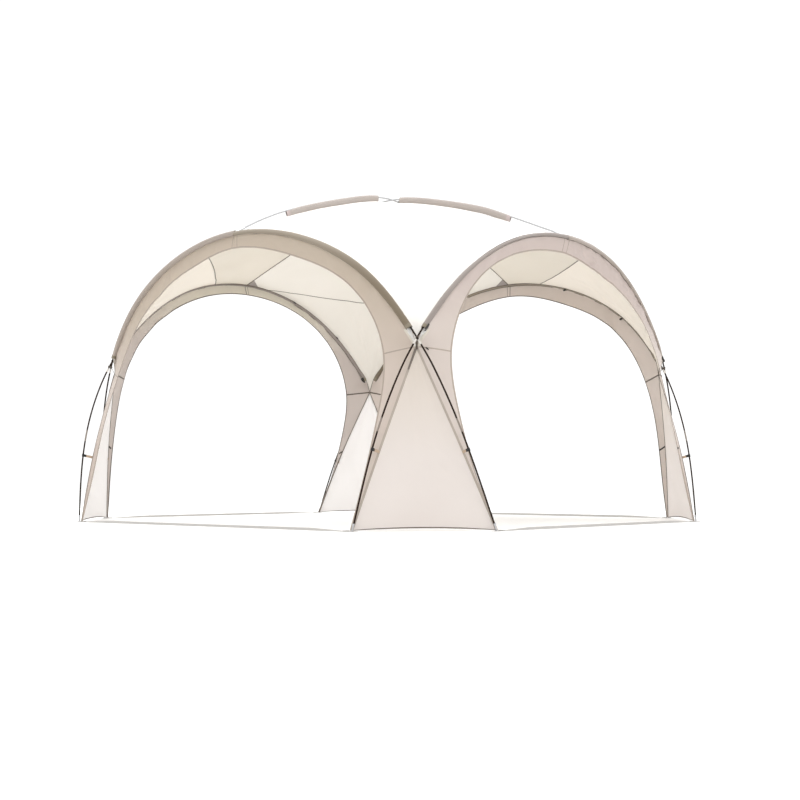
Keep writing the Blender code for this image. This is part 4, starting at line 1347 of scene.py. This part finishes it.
@dataclass
class LegCloth(Work):
    """The triangular panels of the legs, with their hems and the tapes on both seams."""

    columns: int = 25
    rows: int = 81
    hem_rise: float = 0.013
    top_share: float = 0.993
    lift: float = 1.5 * MM

    def panel(self, quarter: Quarter) -> Array:
        """One panel: straight lines between its two seams, hollowed a little, with folds up its length."""
        up = np.linspace(0.0, 1.0, self.rows) * self.top_share
        near = quarter is Quarter.FRONT_RIGHT
        front, flank = (self.lines.leg_seam(side, up, near) for side in Side)
        over = np.linspace(0.0, 1.0, self.columns)[None, :, None]
        grid = (1 - over) * front[:, None] + over * flank[:, None]
        share = over[..., 0]
        hem = np.clip(1 - up[:, None] / 0.05, 0, 1)
        grid[..., 2] += hem * self.hem_rise * 4 * share * (1 - share)
        grid = grid * quarter.signs
        normals = facing_normals(grid, -INWARD * quarter.signs)
        seed = 300 + list(Quarter).index(quarter)
        places = grid_places(grid)
        upright = Folds(0.20, 4.0 * MM, math.pi / 2, seed, spread=0.12).at(places)
        small = Folds(0.09, 1.2 * MM, 0.9, seed + 5, spread=0.8).at(places)
        held = np.clip(4 * share * (1 - share) * 1.6, 0, 1) * np.clip((1 - up[:, None]) / 0.3, 0.2, 1)
        hollow_in = 0.006 * 4 * share * (1 - share) * np.sin(math.pi * np.clip(up[:, None], 0, 1))
        return grid + (self.lift + held * (upright + small) - hollow_in)[..., None] * normals

    def build(self) -> None:
        """Adds the panels, hems and seam tapes."""
        hems, outer, inner = [], [], []
        for quarter in Quarter:
            grid = self.panel(quarter)
            outward = -INWARD * quarter.signs
            # The left legs take the paler copy, painted as lit from behind.
            piece = add_piece(
                f"leg_cloth_{quarter.label}", closed_sheet(grid, 2 * CLOTH_HALF),
                self.finishes.far_leg if quarter.flank == "left" else self.finishes.leg,
                [f"leg_panel_{quarter.label}"],
            )
            run_lengths(grid[:, 0])[-1]
            share = np.linspace(0.0, 1.0, self.columns)
            widths = 0.0030 + 0.0055 * (4 * share * (1 - share)) ** 0.6
            hem = grid[0] + (widths / 2)[:, None] * unit(grid[1] - grid[0])
            hems.append(strap(hem, np.broadcast_to(UP, hem.shape), widths, 0.0024))
            for side in Side:
                up = np.linspace(0.0, 0.995, 60)
                seam = self.lines.leg_seam(side, up, quarter is Quarter.FRONT_RIGHT) * quarter.signs
                outer.append(self.seam_tape(seam + 0.0022 * outward, outward, 0.014, 0.0014))
                widths = 0.0045 + 0.0035 / (1 + np.exp((seam[:, 2] - 0.56) / 0.02))
                inner.append(self.seam_tape(seam - 0.0010 * outward, outward, widths, 0.0022))
        add_piece("leg_hems", joined(hems), self.finishes.leg_hem)
        add_piece("leg_seams_outside", joined(outer), self.finishes.seam_tape)
        add_piece("leg_seams_inside", joined(inner), self.finishes.binding)

    def seam_tape(self, seam: Array, outward: Array, widths: Array | float, thick: float) -> Shape:
        """Tape along a leg's seam, lying square to the way out."""
        return strap(seam, np.cross(tangents(seam), outward), widths, thick)


@dataclass
class SeamPiping(Work):
    """Round piping on the seams below the arches and ridges, inside the tent, and painted shade in the arch
    creases.
    """

    slim: float = 2.1 * MM
    # Painted shade: the piping is fullest at the arch tops, where it stands in for the crease's shade.
    full: float = 6.0 * MM     # at the top of an arch
    full_run: float = 0.26             # how far from the top it is full

    def build(self) -> None:
        """Adds the piping of all four quarters."""
        inside, ridges = [], []
        for side in Side:
            arch = self.lines.arch(side)
            crease, upper = self.lines.fine_crease(side), self.lines.fine_upper(side)
            away = unit(crease - upper)
            away[:self.lines.pieces] = away[self.lines.pieces]
            inner = crease + 0.0012 * away
            whole = np.concatenate([inner, arch.across(inner)[-2::-1]])
            lengths = run_lengths(whole)
            from_top = np.abs(lengths - lengths[-1] / 2)
            radii = self.slim + (self.full - self.slim) * np.exp(-(from_top / self.full_run) ** 4)
            for opening in (opening for opening in Opening if opening.side is side):
                # Painted shade: on the left arch the dark piping thins towards its first end, where the
                # crease shows no shade.
                thin = np.clip((lengths / lengths[-1] - 0.24) / 0.08, 0.25, 1.0)
                sizes = radii * (thin if opening is Opening.LEFT else 1.0)
                inside.append(tube(whole * opening.signs, sizes, arch.face, 10))
            _, seam = self.lines.fine_ridge(side)
            below = seam - 0.0010 * UP
            whole = np.concatenate([below, (below * np.array([-1, -1, 1]))[-2::-1]])
            reference = np.eye(3)[0 if side is Side.FRONT else 1]
            ridges.append(tube(whole, 0.0030, reference, 10))
        add_piece("arch_seams_inside", joined(inside), self.finishes.crease_tape)
        add_piece("ridge_seams_inside", joined(ridges), self.finishes.binding)


@dataclass(frozen=True)
class SleeveShape:
    """Section of a sleeve round a pole.

    It is a drop shape, pointed at the seam and round over the pole: at an angle t it lies
    reach*cos(t) + shift towards the seam and half_width*sin(t)*sin(t/2)^0.8 + aside*sin(t/2)^2 to the side
    of the opening. It is wider by swell*exp(-((share of its run - swell_at)/0.3)^2).
    """

    reach: float
    shift: float
    half_width: float
    gather: float                      # height of the gathers, as a share of the half width
    aside: float = 0.0
    slant: float = 0.35                # of the gathers, from straight round the pole to along it
    swell: float = 0.0                 # extra width, as a share
    swell_at: float = 0.5
    droop: Pair = (0.0, 1.0)    # by which it hangs lower at its start, and how far that goes
    pinch: float = 0.0                 # by which its start is flatter, as a share
    edge: int = 6                      # which point of its section has the piping, counted from the seam


@dataclass(frozen=True)
class SleeveRun:
    """One sleeve: its pole's middle line, its seam, the way out of its opening, its shape and its seed."""

    line: Array
    seam: Array
    out: Array
    shape: SleeveShape
    seed: int


@dataclass
class PoleSleeves(Work):
    """Sleeves of folded cloth round the upper arch poles and the ridge poles."""

    arch_shape: SleeveShape = SleeveShape(0.0185, 0.0035, 0.0240, 0.035, 0.0155, swell=0.28, swell_at=0.35)
    ridge_shape: SleeveShape = SleeveShape(0.0252, 0.0112, 0.0120, 0.025, pinch=0.35)
    own_shapes: dict[tuple[Opening, int], SleeveShape] = field(default_factory=lambda: {
        (Opening.FRONT, 1): SleeveShape(0.0235, 0.0080, 0.0200, 0.040, 0.0020, edge=2),
        (Opening.RIGHT, 0): SleeveShape(0.0170, 0.0035, 0.0215, 0.035, 0.0110, swell=-0.45, swell_at=0.62),
        (Opening.RIGHT, 1): SleeveShape(0.0180, 0.0035, 0.0240, 0.220, 0.0130, slant=1.35, swell=0.10),
    })
    ridge_ends: dict[str, tuple[int, SleeveShape]] = field(default_factory=lambda: {
        "front": (4, SleeveShape(0.0252, 0.0112, 0.0120, 0.025, droop=(0.011, 0.55), pinch=0.35)),
        "right": (-3, SleeveShape(0.0252, 0.0112, 0.0120, 0.025, droop=(0.009, 0.25), pinch=0.35)),
    })
    wall: float = 0.9 * MM
    sides: int = 28
    mouth: float = 0.024

    def section(self, run: SleeveRun, grow: float) -> Array:
        """Grid of a sleeve's surface along its pole, with its gathers, made larger by grow all round."""
        line, shape, seed = run.line, run.shape, run.seed
        toward = unit(run.seam - line)
        sideways = np.cross(tangents(line), toward)
        sideways *= np.sign(np.sum(sideways * run.out))
        angles = np.arange(self.sides) * 2 * math.pi / self.sides
        lengths = run_lengths(line)
        places = np.stack(np.broadcast_arrays(lengths[:, None], 0.02 * angles[None, :]), axis=-1)
        gathers = 1 + Folds(0.05, shape.gather, shape.slant, seed, spread=0.4).at(places)
        gathers = gathers + Folds(0.28, 0.8 * shape.gather, 0.1, seed + 50, spread=0.2).at(places)
        droop = shape.droop[0] * np.clip(1 - lengths / shape.droop[1], 0.0, 1.0)
        first = (shape.reach + grow) * np.cos(angles) + shape.shift + droop[:, None]
        second = (shape.half_width * np.abs(np.sin(angles / 2)) ** 0.8 + grow) * np.sin(angles)
        swell = shape.swell * np.exp(-((lengths / lengths[-1] - shape.swell_at) / 0.3) ** 2)
        swell = swell - shape.pinch * np.exp(-(lengths / 0.06) ** 2)
        second = second[None, :] * (gathers + swell[:, None]) + shape.aside * np.sin(angles / 2) ** 2
        return line[:, None] + first[..., None] * toward[:, None] + second[..., None] * sideways[:, None]

    def band(self, run: SleeveRun) -> Shape:
        """The hem round a sleeve's mouth, at the start of its run."""
        count = int(np.searchsorted(run_lengths(run.line), self.mouth)) + 1
        outer, inner = (self.section(run, grow * MM)[:count] for grow in (0.8, -1.6))
        return hollow(outer, inner)

    def seam_piping(self, run: SleeveRun) -> Shape:
        """Piping along a sleeve's lower edge, where the trim starts."""
        return tube(self.section(run, 0.0)[:, run.shape.edge], 0.0026, run.out, 8)

    def mouth_tab(self, run: SleeveRun) -> Shape:
        """Tab of webbing sewn over a sleeve's mouth on its outer side, with its free end past the mouth."""
        surface = self.section(run, 0.0028)[:4, 4:15]
        past = surface[:1] + np.array([0.7, 0.35])[:, None, None] * (surface[:1] - surface[1:2])
        return closed_sheet(np.concatenate([past, surface]), 0.0022)

    def add_sleeve(
        self, name: str, run: SleeveRun, material: bpy.types.Material, slot: str, node: str, pole: str,
    ) -> None:
        """Adds one sleeve, a strip of cloth folded round the pole and sewn to itself, open at both ends."""
        surface = self.section(run, 0.0)
        piece = add_piece(name, hollow(surface, self.section(run, -self.wall)), material, [node])
        around = run_lengths(np.concatenate([surface[len(surface) // 2], surface[len(surface) // 2, :1]]))[-1]
        run_lengths(run.line)[-1]

    def build(self) -> None:
        """Adds the twelve sleeves and their mouth bands."""
        first = self.lines.pieces
        arch_bands, ridge_bands, piping, tabs = [], [], [], []
        for number, opening in enumerate(Opening):
            arch = self.lines.arch(opening.side)
            line = self.lines.fine_upper(opening.side)[first:]
            seam = self.lines.fine_crease(opening.side)[first:]
            ends = ("right", "left") if opening.side is Side.FRONT else ("front", "back")
            for half, end in enumerate(ends):
                seed = 400 + 10 * number + half
                a, b = (line, seam) if half == 0 else (arch.across(line), arch.across(seam))
                shape = self.own_shapes.get((opening, half), self.arch_shape)
                signs = opening.signs
                run = SleeveRun(a * signs, b * signs, -arch.face * signs, shape, seed)
                finish = self.finishes.flank_sleeve
                if half == 1 and (opening, half) in self.own_shapes:
                    finish = self.finishes.pale_sleeve
                elif opening.side is Side.FRONT:
                    finish = self.finishes.end_sleeve
                self.add_sleeve(
                    f"{opening.label}_arch_pocket_{end}", run, finish, "sleeve",
                    f"{opening.label}_arch_sleeve_{end}", f"{opening.label}_arch_pole",
                )
                arch_bands.append(self.band(run))
                piping.append(self.seam_piping(run))
                if opening.side is Side.FLANK:
                    tabs.append(self.mouth_tab(run))
        begin = self.lines.bare_steps * self.lines.pieces
        end_at = (self.lines.bare_steps + self.lines.sleeved_steps) * self.lines.pieces + 1
        for side, names in ((Side.FRONT, ("front", "back")), (Side.FLANK, ("right", "left"))):
            line, seam = self.lines.fine_ridge(side)
            pole = "front_to_back_ridge_pole" if side is Side.FRONT else "side_to_side_ridge_pole"
            for half, name in enumerate(names):
                signs = np.array([1, 1, 1]) if half == 0 else np.array([-1, -1, 1])
                beside = np.cross(UP, self.lines.arch(side).face)
                seed = 460 + 2 * half + (side is Side.FLANK)
                later, shape = self.ridge_ends.get(name, (0, self.ridge_shape))
                span = slice(begin + later, end_at)
                run = SleeveRun(line[span] * signs, seam[span] * signs, beside, shape, seed)
                self.add_sleeve(
                    f"ridge_pocket_{name}", run, self.finishes.ridge_sleeve, "ridge_sleeve",
                    f"ridge_sleeve_{name}", pole,
                )
                ridge_bands.append(self.band(run))
        add_piece("arch_sleeve_mouths", joined(arch_bands), self.finishes.mouth_tape)
        add_piece("arch_seams_outside", joined(piping), self.finishes.sleeve_seam)
        add_piece("sleeve_mouth_tabs", joined(tabs), self.finishes.dark_webbing)
        add_piece("ridge_sleeve_mouths", joined(ridge_bands), self.finishes.ridge_mouth_tape)


# Poles and fittings


@dataclass
class Poles(Work):
    """Arch and ridge poles with their silver joints and foot tips."""

    radius: float = 0.0057
    ridge_radius: float = 0.0052
    sides: int = 20
    tip_radius: float = 0.0052
    joint_radius: float = 0.0061
    joint_length: float = 0.090
    joint_height: float = 0.65

    def build(self) -> None:
        """Adds the six poles, the joints and the tips."""
        joints, tips, collars, sockets = [], [], [], []
        for opening in Opening:
            arch = self.lines.arch(opening.side)
            at_top = arch.marks()[1]
            stations = np.linspace(arch.tip_length - 0.004, at_top, 180)
            half = arch.middle_line(stations)
            near = self.lines.lower_bow(opening.side, half, False, opening)
            whole = np.concatenate([near, arch.across(half)[-2::-1]]) * opening.signs
            add_piece(
                f"{opening.label}_pole", tube(whole, self.radius, arch.face, self.sides), self.finishes.pole,
                [f"{opening.label}_arch_pole"],
            )
            fine = arch.middle_line(np.linspace(0.0, arch.marks()[0], 400))
            at_joint = np.interp(self.joint_height, fine[:, 2], run_lengths(fine))
            joint = arch.middle_line(at_joint + np.linspace(-0.5, 0.5, 13) * self.joint_length)
            sizes = np.full(13, self.joint_radius)
            sizes[[0, -1]] = self.radius + 0.0002
            sizes[[2, 10]] = self.joint_radius - 0.0004
            tip = arch.middle_line(np.array([0.0, 0.003, 0.010, 0.034, 0.036, 0.043, 0.048]))
            tip_sizes = np.array([0.0040, *[self.tip_radius] * 3, 0.0078, 0.0080, 0.0075])
            collar = arch.middle_line(arch.marks()[0] + np.linspace(-0.052, -0.016, 7))
            collar_sizes = np.full(7, self.joint_radius + 0.0004)
            collar_sizes[[0, -1]] = self.joint_radius - 0.0002
            for mirrored, turn in ((False, lambda points: points), (True, arch.across)):
                middle = self.lines.lower_bow(opening.side, joint, mirrored, opening)
                joints.append(tube(turn(middle) * opening.signs, sizes, arch.face, self.sides))
                tips.append(tube(turn(tip) * opening.signs, tip_sizes, arch.face, self.sides))
                middle = self.lines.lower_bow(opening.side, collar, mirrored, opening)
                collars.append(tube(turn(middle) * opening.signs, collar_sizes, arch.face, self.sides))
        for side, node in ((Side.FRONT, "front_to_back"), (Side.FLANK, "side_to_side")):
            line, _ = self.lines.fine_ridge(side)
            whole = np.concatenate([line, (line * np.array([-1, -1, 1]))[-2::-1]])
            reference = np.eye(3)[0 if side is Side.FRONT else 1]
            add_piece(
                f"{node}_pole", tube(whole, self.ridge_radius, reference, self.sides),
                self.finishes.ridge_pole, [f"{node}_ridge_pole"],
            )
            for signs in ((1, 1, 1), (-1, -1, 1)):
                socket = spaced(line[:9] * np.array(signs), 0.006)
                sizes = np.full(len(socket), self.ridge_radius + 0.0018)
                sizes[[0, -1]] -= 0.0012
                sockets.append(tube(socket, sizes, reference, self.sides))
        add_piece("pole_joints", joined(joints), self.finishes.joint)
        add_piece("pole_tips", joined(tips), self.finishes.aluminium)
        add_piece("pole_collars", joined(collars), self.finishes.collar)
        add_piece("ridge_pole_sockets", joined(sockets), self.finishes.aluminium)


def rounded_box_outline(half_first: float, half_second: float, sides: int = 24) -> Array:
    """A rectangle with round corners as a closed outline: a circle pushed out to |x|^6 + |y|^6 = 1."""
    circle = round_outline(1.0, sides)
    reach = (np.abs(circle) ** 6).sum(axis=-1, keepdims=True) ** (-1 / 6)
    return circle * reach * np.array([half_first, half_second])


def straight(start: Array, end: Array, count: int) -> Array:
    """Points at equal steps from start to end."""
    return start + np.linspace(0.0, 1.0, count)[:, None] * (end - start)


@dataclass
class CrossingTies(Work):
    """Dark webbing wound round both poles where they cross, with a strap down to the cloth's corner."""

    half_out: float = 0.0145
    half_across: float = 0.0078
    height: float = 0.013
    webbing: float = 0.0016
    strap_width: float = 0.013
    toggle_aside: float = 0.066        # of a toggle from the strap's end
    toggle_drop: float = 0.012
    toggle_length: float = 0.024

    def build(self) -> None:
        """Adds the ties of the four legs, their toggles and the corner strips."""
        toggles, strips, tapes = [], [], []
        for quarter in Quarter:
            signs = quarter.signs
            rises = []
            for side in Side:
                arch = self.lines.arch(side)
                low, high = arch.middle_line(arch.marks()[0] + np.array([-0.03, 0.03]))
                rises.append(unit(high - low))
            up = unit(rises[0] + rises[1]) * signs
            across = unit(np.cross(up, -INWARD * signs))
            out = np.cross(across, up)
            centre = self.lines.centre * signs
            loop = centre + np.array([-0.5, -0.42, 0.42, 0.5])[:, None] * self.height * up
            grids = []
            for grow in (self.webbing, 0.0):
                outline = rounded_box_outline(self.half_out + grow, self.half_across + grow)
                flare = np.array([-0.4, 0.0, 0.0, -0.4]) * MM * (1 if grow else -1)
                ring_points = outline[None] * (1 + flare[:, None, None] / self.half_across)
                grids.append(loop[:, None] + ring_points[..., :1] * out + ring_points[..., 1:] * across)
            start = centre - (self.half_out + self.webbing / 2) * out - 0.005 * up
            end = (self.lines.corner - 0.0055 * INWARD) * signs
            below = end - 0.020 * UP - 0.0030 * INWARD * signs
            tail = np.concatenate([straight(start, end, 8), straight(end, below, 6)[1:]])
            down = strap(tail, across, self.strap_width, self.webbing)
            add_piece(
                f"crossing_webbing_{quarter.label}", joined([hollow(*grids), down]),
                self.finishes.tie_webbing, [f"crossing_tie_{quarter.label}"],
            )
            beside = np.array([math.sqrt(0.5), math.sqrt(0.5), 0.0]) * signs
            place = end - 0.006 * out + self.toggle_aside * beside - self.toggle_drop * up
            toggles.append(self.toggle(place, unit(beside - 0.9 * up)))
            strips += [self.corner_strip(side, signs) for side in Side]
            near = quarter is Quarter.FRONT_RIGHT
            seam = self.lines.leg_seam(Side.FRONT, np.linspace(0.985, 0.87, 12), near)
            seam = (seam - 0.0052 * INWARD) * signs
            widths = np.linspace(0.016, 0.009, 12)
            tapes.append(strap(seam, np.cross(tangents(seam), INWARD * signs), widths, self.webbing))
        add_piece("corner_toggles", joined(toggles), self.finishes.plastic)
        add_piece("corner_strips", joined(strips), self.finishes.sunlit_roof)
        # The corner strips take the roof cloth's sunlit copy, with its painted light.
        add_piece("corner_tapes", joined(tapes), self.finishes.leg_hem)

    def toggle(self, place: Array, axis: Array) -> Shape:
        """Small moulded toggle: a bar thicker at its middle."""
        length = self.toggle_length
        profile = [(0.0022, 0.0), (0.0036, 0.001), (0.0036, 0.35 * length), (0.0050, 0.5 * length),
                   (0.0036, 0.65 * length), (0.0036, length - 0.001), (0.0022, length)]
        return turned(profile, place - axis * length / 2, axis, 16)

    def corner_strip(self, side: Side, signs: Array) -> Shape:
        """Strip of roof cloth sewn over the trim, from a sleeve's mouth down to the cloth's corner."""
        arch = self.lines.arch(side)
        grid = self.lines.trim(side, 61)[self.lines.lower_steps * self.lines.pieces:][:9]
        whole = np.linalg.norm(grid[:, -1] - grid[:, 0], axis=-1)
        share = np.linspace(0.014, 0.036, len(grid)) / whole
        up = np.broadcast_to(np.linspace(0.0, 1.0, len(grid))[:, None], (len(grid), 9))
        strip = read_grid(grid, up, share[:, None] * np.linspace(0.0, 1.0, 9)[None, :])
        return closed_sheet((strip - 0.0055 * arch.face) * signs, 0.0010)


@dataclass
class HookStraps(Work):
    """Tan straps that hold the leg seams out to the lower poles, each with a black clip round its pole."""

    width: float = 0.018
    drop: float = 0.016                # of a strap's seam end below its clip
    thickness: float = 0.0022
    clip_radius: float = 0.0090
    clip_height: float = 0.021

    def build(self) -> None:
        """Adds the straps, two on each leg, and the clips."""
        clips = []
        for quarter in Quarter:
            straps, nodes = [], []
            for side, opening in ((Side.FRONT, quarter.end), (Side.FLANK, quarter.flank)):
                near = quarter is Quarter.FRONT_RIGHT
                pole, seam, lean = self.ends(side, near)
                if near:
                    own = Opening.FRONT if side is Side.FRONT else Opening.RIGHT
                    pole = self.lines.lower_bow(side, pole[None], False, own)[0]
                pole, seam, lean = (vector * quarter.signs for vector in (pole, seam, lean))
                seam = seam - self.drop * UP
                along = unit(pole - seam)
                upright = square_to(UP, along)
                path = straight(seam - 0.004 * along, pole - 0.012 * along, 8)
                straps.append(strap(path, upright, self.width, self.thickness))
                nodes.append(f"hook_strap_{quarter.label}_{opening}_pole")
                sleeve = straight(pole - lean * self.clip_height / 2, pole + lean * self.clip_height / 2, 6)
                radii = self.clip_radius * np.array([0.86, 1.0, 1.0, 1.0, 1.0, 0.86])
                sleeve[1] = sleeve[0] + 0.0015 * lean
                sleeve[4] = sleeve[5] - 0.0015 * lean
                clips.append(tube(sleeve, radii, np.cross(lean, along), 20))
                neck = straight(pole - 0.024 * along, pole - 0.006 * along, 5)
                clips.append(swept(
                    neck, np.broadcast_to(upright, neck.shape), rounded_box_outline(0.0095, 0.0034),
                ))
            add_piece(
                f"hook_webbing_{quarter.label}", joined(straps), self.finishes.tan_webbing, nodes
            )
        add_piece("pole_clips", joined(clips), self.finishes.plastic)

    def ends(self, side: Side, near: bool) -> tuple[Array, Array, Array]:
        """A strap's places on the pole and on the seam, and the pole's direction there."""
        arch = self.lines.arch(side)
        pole = arch.middle_line(np.linspace(0.0, arch.marks()[0], 300))
        beside = Side.FLANK if side is Side.FRONT else Side.FRONT
        seam = self.lines.leg_seam(beside, np.linspace(0.0, 1.0, 300), near)
        height = self.lines.hook_height
        places = [
            np.array([np.interp(height, line[:, 2], line[:, axis]) for axis in range(3)])
            for line in (pole, seam)
        ]
        lean = tangents(pole)[int(np.searchsorted(pole[:, 2], height))]
        return places[0], places[1], lean


@dataclass
class GroundStraps(Work):
    """Webbing on the ground between neighbouring legs, with tabs, metal eyelets and adjusting buckles."""

    width: float = 0.025
    thickness: float = 0.0026
    tab_length: float = 0.062
    tab_width: float = 0.050
    twist: float = 0.62                # of the taut webbing between its tabs, in radians

    def build(self) -> None:
        """Adds the four straps, the eyelets and the buckles."""
        eyelets, buckles = [], []
        for opening in Opening:
            foot = self.lines.front_foot if opening.side is Side.FRONT else self.lines.flank_foot[::-1]
            arch = self.lines.arch(opening.side)
            half, out = foot
            half_tab = self.tab_length / 2
            reach = np.array([half_tab, 0.7 * half_tab, 0.0, -half_tab, -half_tab - 0.0125])
            widths = np.array([0.7, 1.0, 1.0, 1.0, self.width / self.tab_width]) * self.tab_width
            middle = np.linspace(-(half - 0.055), half - 0.055, 60)
            along = np.concatenate([-(half + reach), middle, (half + reach)[::-1]])
            widths = np.concatenate([widths, np.full(60, self.width), widths[::-1]])
            turn = self.twist * np.clip((half - 0.06 - np.abs(along)) / 0.30, 0.0, 1.0)
            level = self.thickness / 2 * np.cos(turn) + widths / 2 * np.sin(turn)
            path = arch.swap(np.stack([along, np.full_like(along, -out), level], axis=-1)) * opening.signs
            across = arch.swap(np.array([0.0, 1.0, 0.0]))
            lean = np.cos(turn)[:, None] * across + np.sin(turn)[:, None] * UP
            add_piece(
                f"ground_webbing_{opening.label}", strap(path, lean, widths, self.thickness),
                self.finishes.ground_webbing, [f"{opening.label}_ground_strap"],
            )
            for end in (-1, 1):
                place = arch.swap(np.array([end * half, -out, 0.0])) * opening.signs
                profile = [(0.0066, 0.0028), (0.0070, 0.0046), (0.0110, 0.0043), (0.0118, 0.0027)]
                eyelets.append(turned(profile, place, UP, 24))
                spot = arch.swap(np.array([end * (half - 0.05), -out, 0.0048])) * opening.signs
                buckles.append(self.buckle(spot, arch.swap(np.array([1.0, 0.0, 0.0])), across))
        add_piece("ground_strap_eyelets", joined(eyelets), self.finishes.aluminium)
        add_piece("ground_strap_buckles", joined(buckles), self.finishes.grey_plastic)

    def buckle(self, place: Array, along: Array, across: Array) -> Shape:
        """Adjusting buckle: two cross bars between two side bars, lying on the strap."""
        bars = []
        for shift in (-0.010, 0.0, 0.010):
            middle = place + shift * along
            bars.append(tube(straight(middle - 0.016 * across, middle + 0.016 * across, 4), 0.0020, UP, 10))
        for shift in (-0.0165, 0.0165):
            middle = place + shift * across
            bars.append(tube(straight(middle - 0.012 * along, middle + 0.012 * along, 4), 0.0022, UP, 10))
        return joined(bars)


@dataclass
class CreaseClips(Work):
    """Small black clips on loops of tape along the seams inside the arches, for hanging walls or lamps."""

    half_widths: dict[Side, Pair] = field(default_factory=lambda: {
        Side.FRONT: (0.617, 1.185), Side.FLANK: (0.553, 1.074),
    })

    def build(self) -> None:
        """Adds two clips on one half of each arch, as the photo shows them."""
        clips, loops = [], []
        for opening in Opening:
            arch = self.lines.arch(opening.side)
            crease, upper = self.lines.fine_crease(opening.side), self.lines.fine_upper(opening.side)
            widths = arch.swap(crease)[:, 0]
            for half_width in self.half_widths[opening.side]:
                at = int(np.argmin(np.abs(widths - half_width)))
                along, away = tangents(crease)[at], unit(crease - upper)[at]
                hang = unit(away + 0.6 * arch.face - 0.6 * UP)
                turn = arch.across if opening in (Opening.FRONT, Opening.LEFT) else lambda points: points
                place, a, h = (turn(v) * opening.signs for v in (crease[at] + 0.006 * away, along, hang))
                b = np.cross(a, h)
                tab = straight(place - 0.004 * h, place + 0.010 * h, 5)
                loops.append(strap(tab, a, 0.012, 0.0024))
                hook = straight(place + 0.009 * h, place + 0.024 * h, 6)
                clips.append(swept(hook, np.broadcast_to(a, hook.shape), rounded_box_outline(0.0095, 0.0042)))
                clips.append(ring(place + 0.026 * h, b, 0.0060, 0.0018, 16))
        add_piece("seam_clips", joined(clips), self.finishes.plastic)
        add_piece("seam_clip_loops", joined(loops), self.finishes.dark_webbing)


@dataclass
class Studio:
    """Pale floor, soft light and the camera at the photograph's place."""

    lines: TentLines
    azimuth: float = 0.7314            # of the camera, in radians from the front towards the right
    distance: float = 10.198
    height: float = 0.313
    pitch: float = 0.0177
    focal: float = 1299.3              # in pixels of a picture 800 wide
    middle: Pair = (388.3, 457.0)
    picture: float = 800.0
    sensor: float = 36.0
    bright_side: Triple = (0.8, 0.6, 0.0)   # from which the sky is a little brighter
    sky: float = 1.13                  # mean strength, and how much more it is on the bright side
    brighter: float = 0.14
    aim: Triple = (0.0, 0.0, 1.0)      # at which the lamps look
    floor_half: float = 30.0
    floor_patch: float = 0.4           # breadth of the floor's duller patches

    def build(self) -> None:
        """Adds the floor, world, lamps and camera."""
        scene = bpy.context.scene
        mesh = bpy.data.meshes.new("floor")
        size = self.floor_half
        corners = [(-size, -size, 0), (size, -size, 0), (size, size, 0), (-size, size, 0)]
        mesh.from_pydata(corners, [], [(0, 1, 2, 3)])
        floor = bpy.data.objects.new("floor", mesh)
        material, tree = blank_material("matt_white_floor")
        places = add_node(tree, "TexCoord").outputs["Object"]
        patches = add_node(
            tree, "TexNoise", Vector=places, Scale=1 / self.floor_patch, Detail=2.0
        ).outputs[0]
        rough = add_node(tree, "MapRange", Value=patches, To_Min=0.85, To_Max=0.95).outputs[0]
        surface = add_node(tree, "BsdfPrincipled", Base_Color=linear("#FAFAF9"), Roughness=rough)
        add_node(tree, "OutputMaterial", Surface=surface.outputs[0])
        mesh.materials.append(material)
        scene.collection.objects.link(floor)
        world = bpy.data.worlds.new("soft_sky")
        world.use_nodes = True
        tree = world.node_tree
        back = tree.nodes["Background"]
        back.inputs["Color"].default_value = linear("#FFFFFF")
        way = add_node(tree, "TexCoord").outputs["Generated"]
        side = add_node(
            tree, "VectorMath", {"operation": "DOT_PRODUCT"}, i0=way, i1=self.bright_side
        ).outputs["Value"]
        strength = add_node(
            tree, "Math", {"operation": "MULTIPLY_ADD"}, i0=side, i1=self.brighter, i2=self.sky
        )
        tree.links.new(strength.outputs[0], back.inputs["Strength"])
        scene.world = world
        self.add_lamp("top_lamp", (0.4, -0.6, 7.5), 330.0, 6.0)
        self.add_lamp("left_lamp", (-6.2, 1.2, 4.4), 230.0, 3.5)
        scene.view_settings.view_transform = "Standard"
        self.add_camera()

    def add_lamp(self, name: str, place: Triple, power: float, size: float) -> None:
        """Adds a large soft lamp that looks at the tent's middle. It isn't seen itself."""
        lamp = bpy.data.lights.new(name, "AREA")
        lamp.energy = power
        lamp.size = size
        obj = bpy.data.objects.new(name, lamp)
        obj.location = place
        obj.rotation_mode = "QUATERNION"
        obj.rotation_quaternion = (Vector(self.aim) - Vector(place)).to_track_quat("-Z", "Y")
        obj.visible_camera = False
        bpy.context.scene.collection.objects.link(obj)

    def add_camera(self) -> None:
        """Adds the camera, which looks level along the azimuth, raised by the pitch."""
        data = bpy.data.cameras.new("camera")
        data.sensor_width = self.sensor
        data.lens = self.focal * self.sensor / self.picture
        data.shift_x = (self.picture / 2 - self.middle[0]) / self.picture
        data.shift_y = (self.middle[1] - self.picture / 2) / self.picture
        camera = bpy.data.objects.new("camera", data)
        back = Vector((math.sin(self.azimuth), -math.cos(self.azimuth), 0.0))
        camera.location = back * self.distance + Vector((0, 0, self.height))
        look = -back * math.cos(self.pitch) + Vector((0, 0, math.sin(self.pitch)))
        camera.rotation_mode = "QUATERNION"
        camera.rotation_quaternion = look.to_track_quat("-Z", "Y")
        bpy.context.scene.collection.objects.link(camera)
        bpy.context.scene.camera = camera


def main() -> None:
    """Builds the tent's looks and the studio."""
    logging.basicConfig(level=logging.INFO, format="%(message)s")
    lines = TentLines()
    finishes = Finishes()
    for part in (
        RoofCloth(lines, finishes), OpeningTrims(lines, finishes), LegCloth(lines, finishes),
        SeamPiping(lines, finishes), PoleSleeves(lines, finishes), Poles(lines, finishes),
        CrossingTies(lines, finishes), HookStraps(lines, finishes), GroundStraps(lines, finishes),
        CreaseClips(lines, finishes), Studio(lines),
    ):
        LOG.info("building %s", type(part).__name__)
        part.build()


if __name__ == "__main__":
    main()
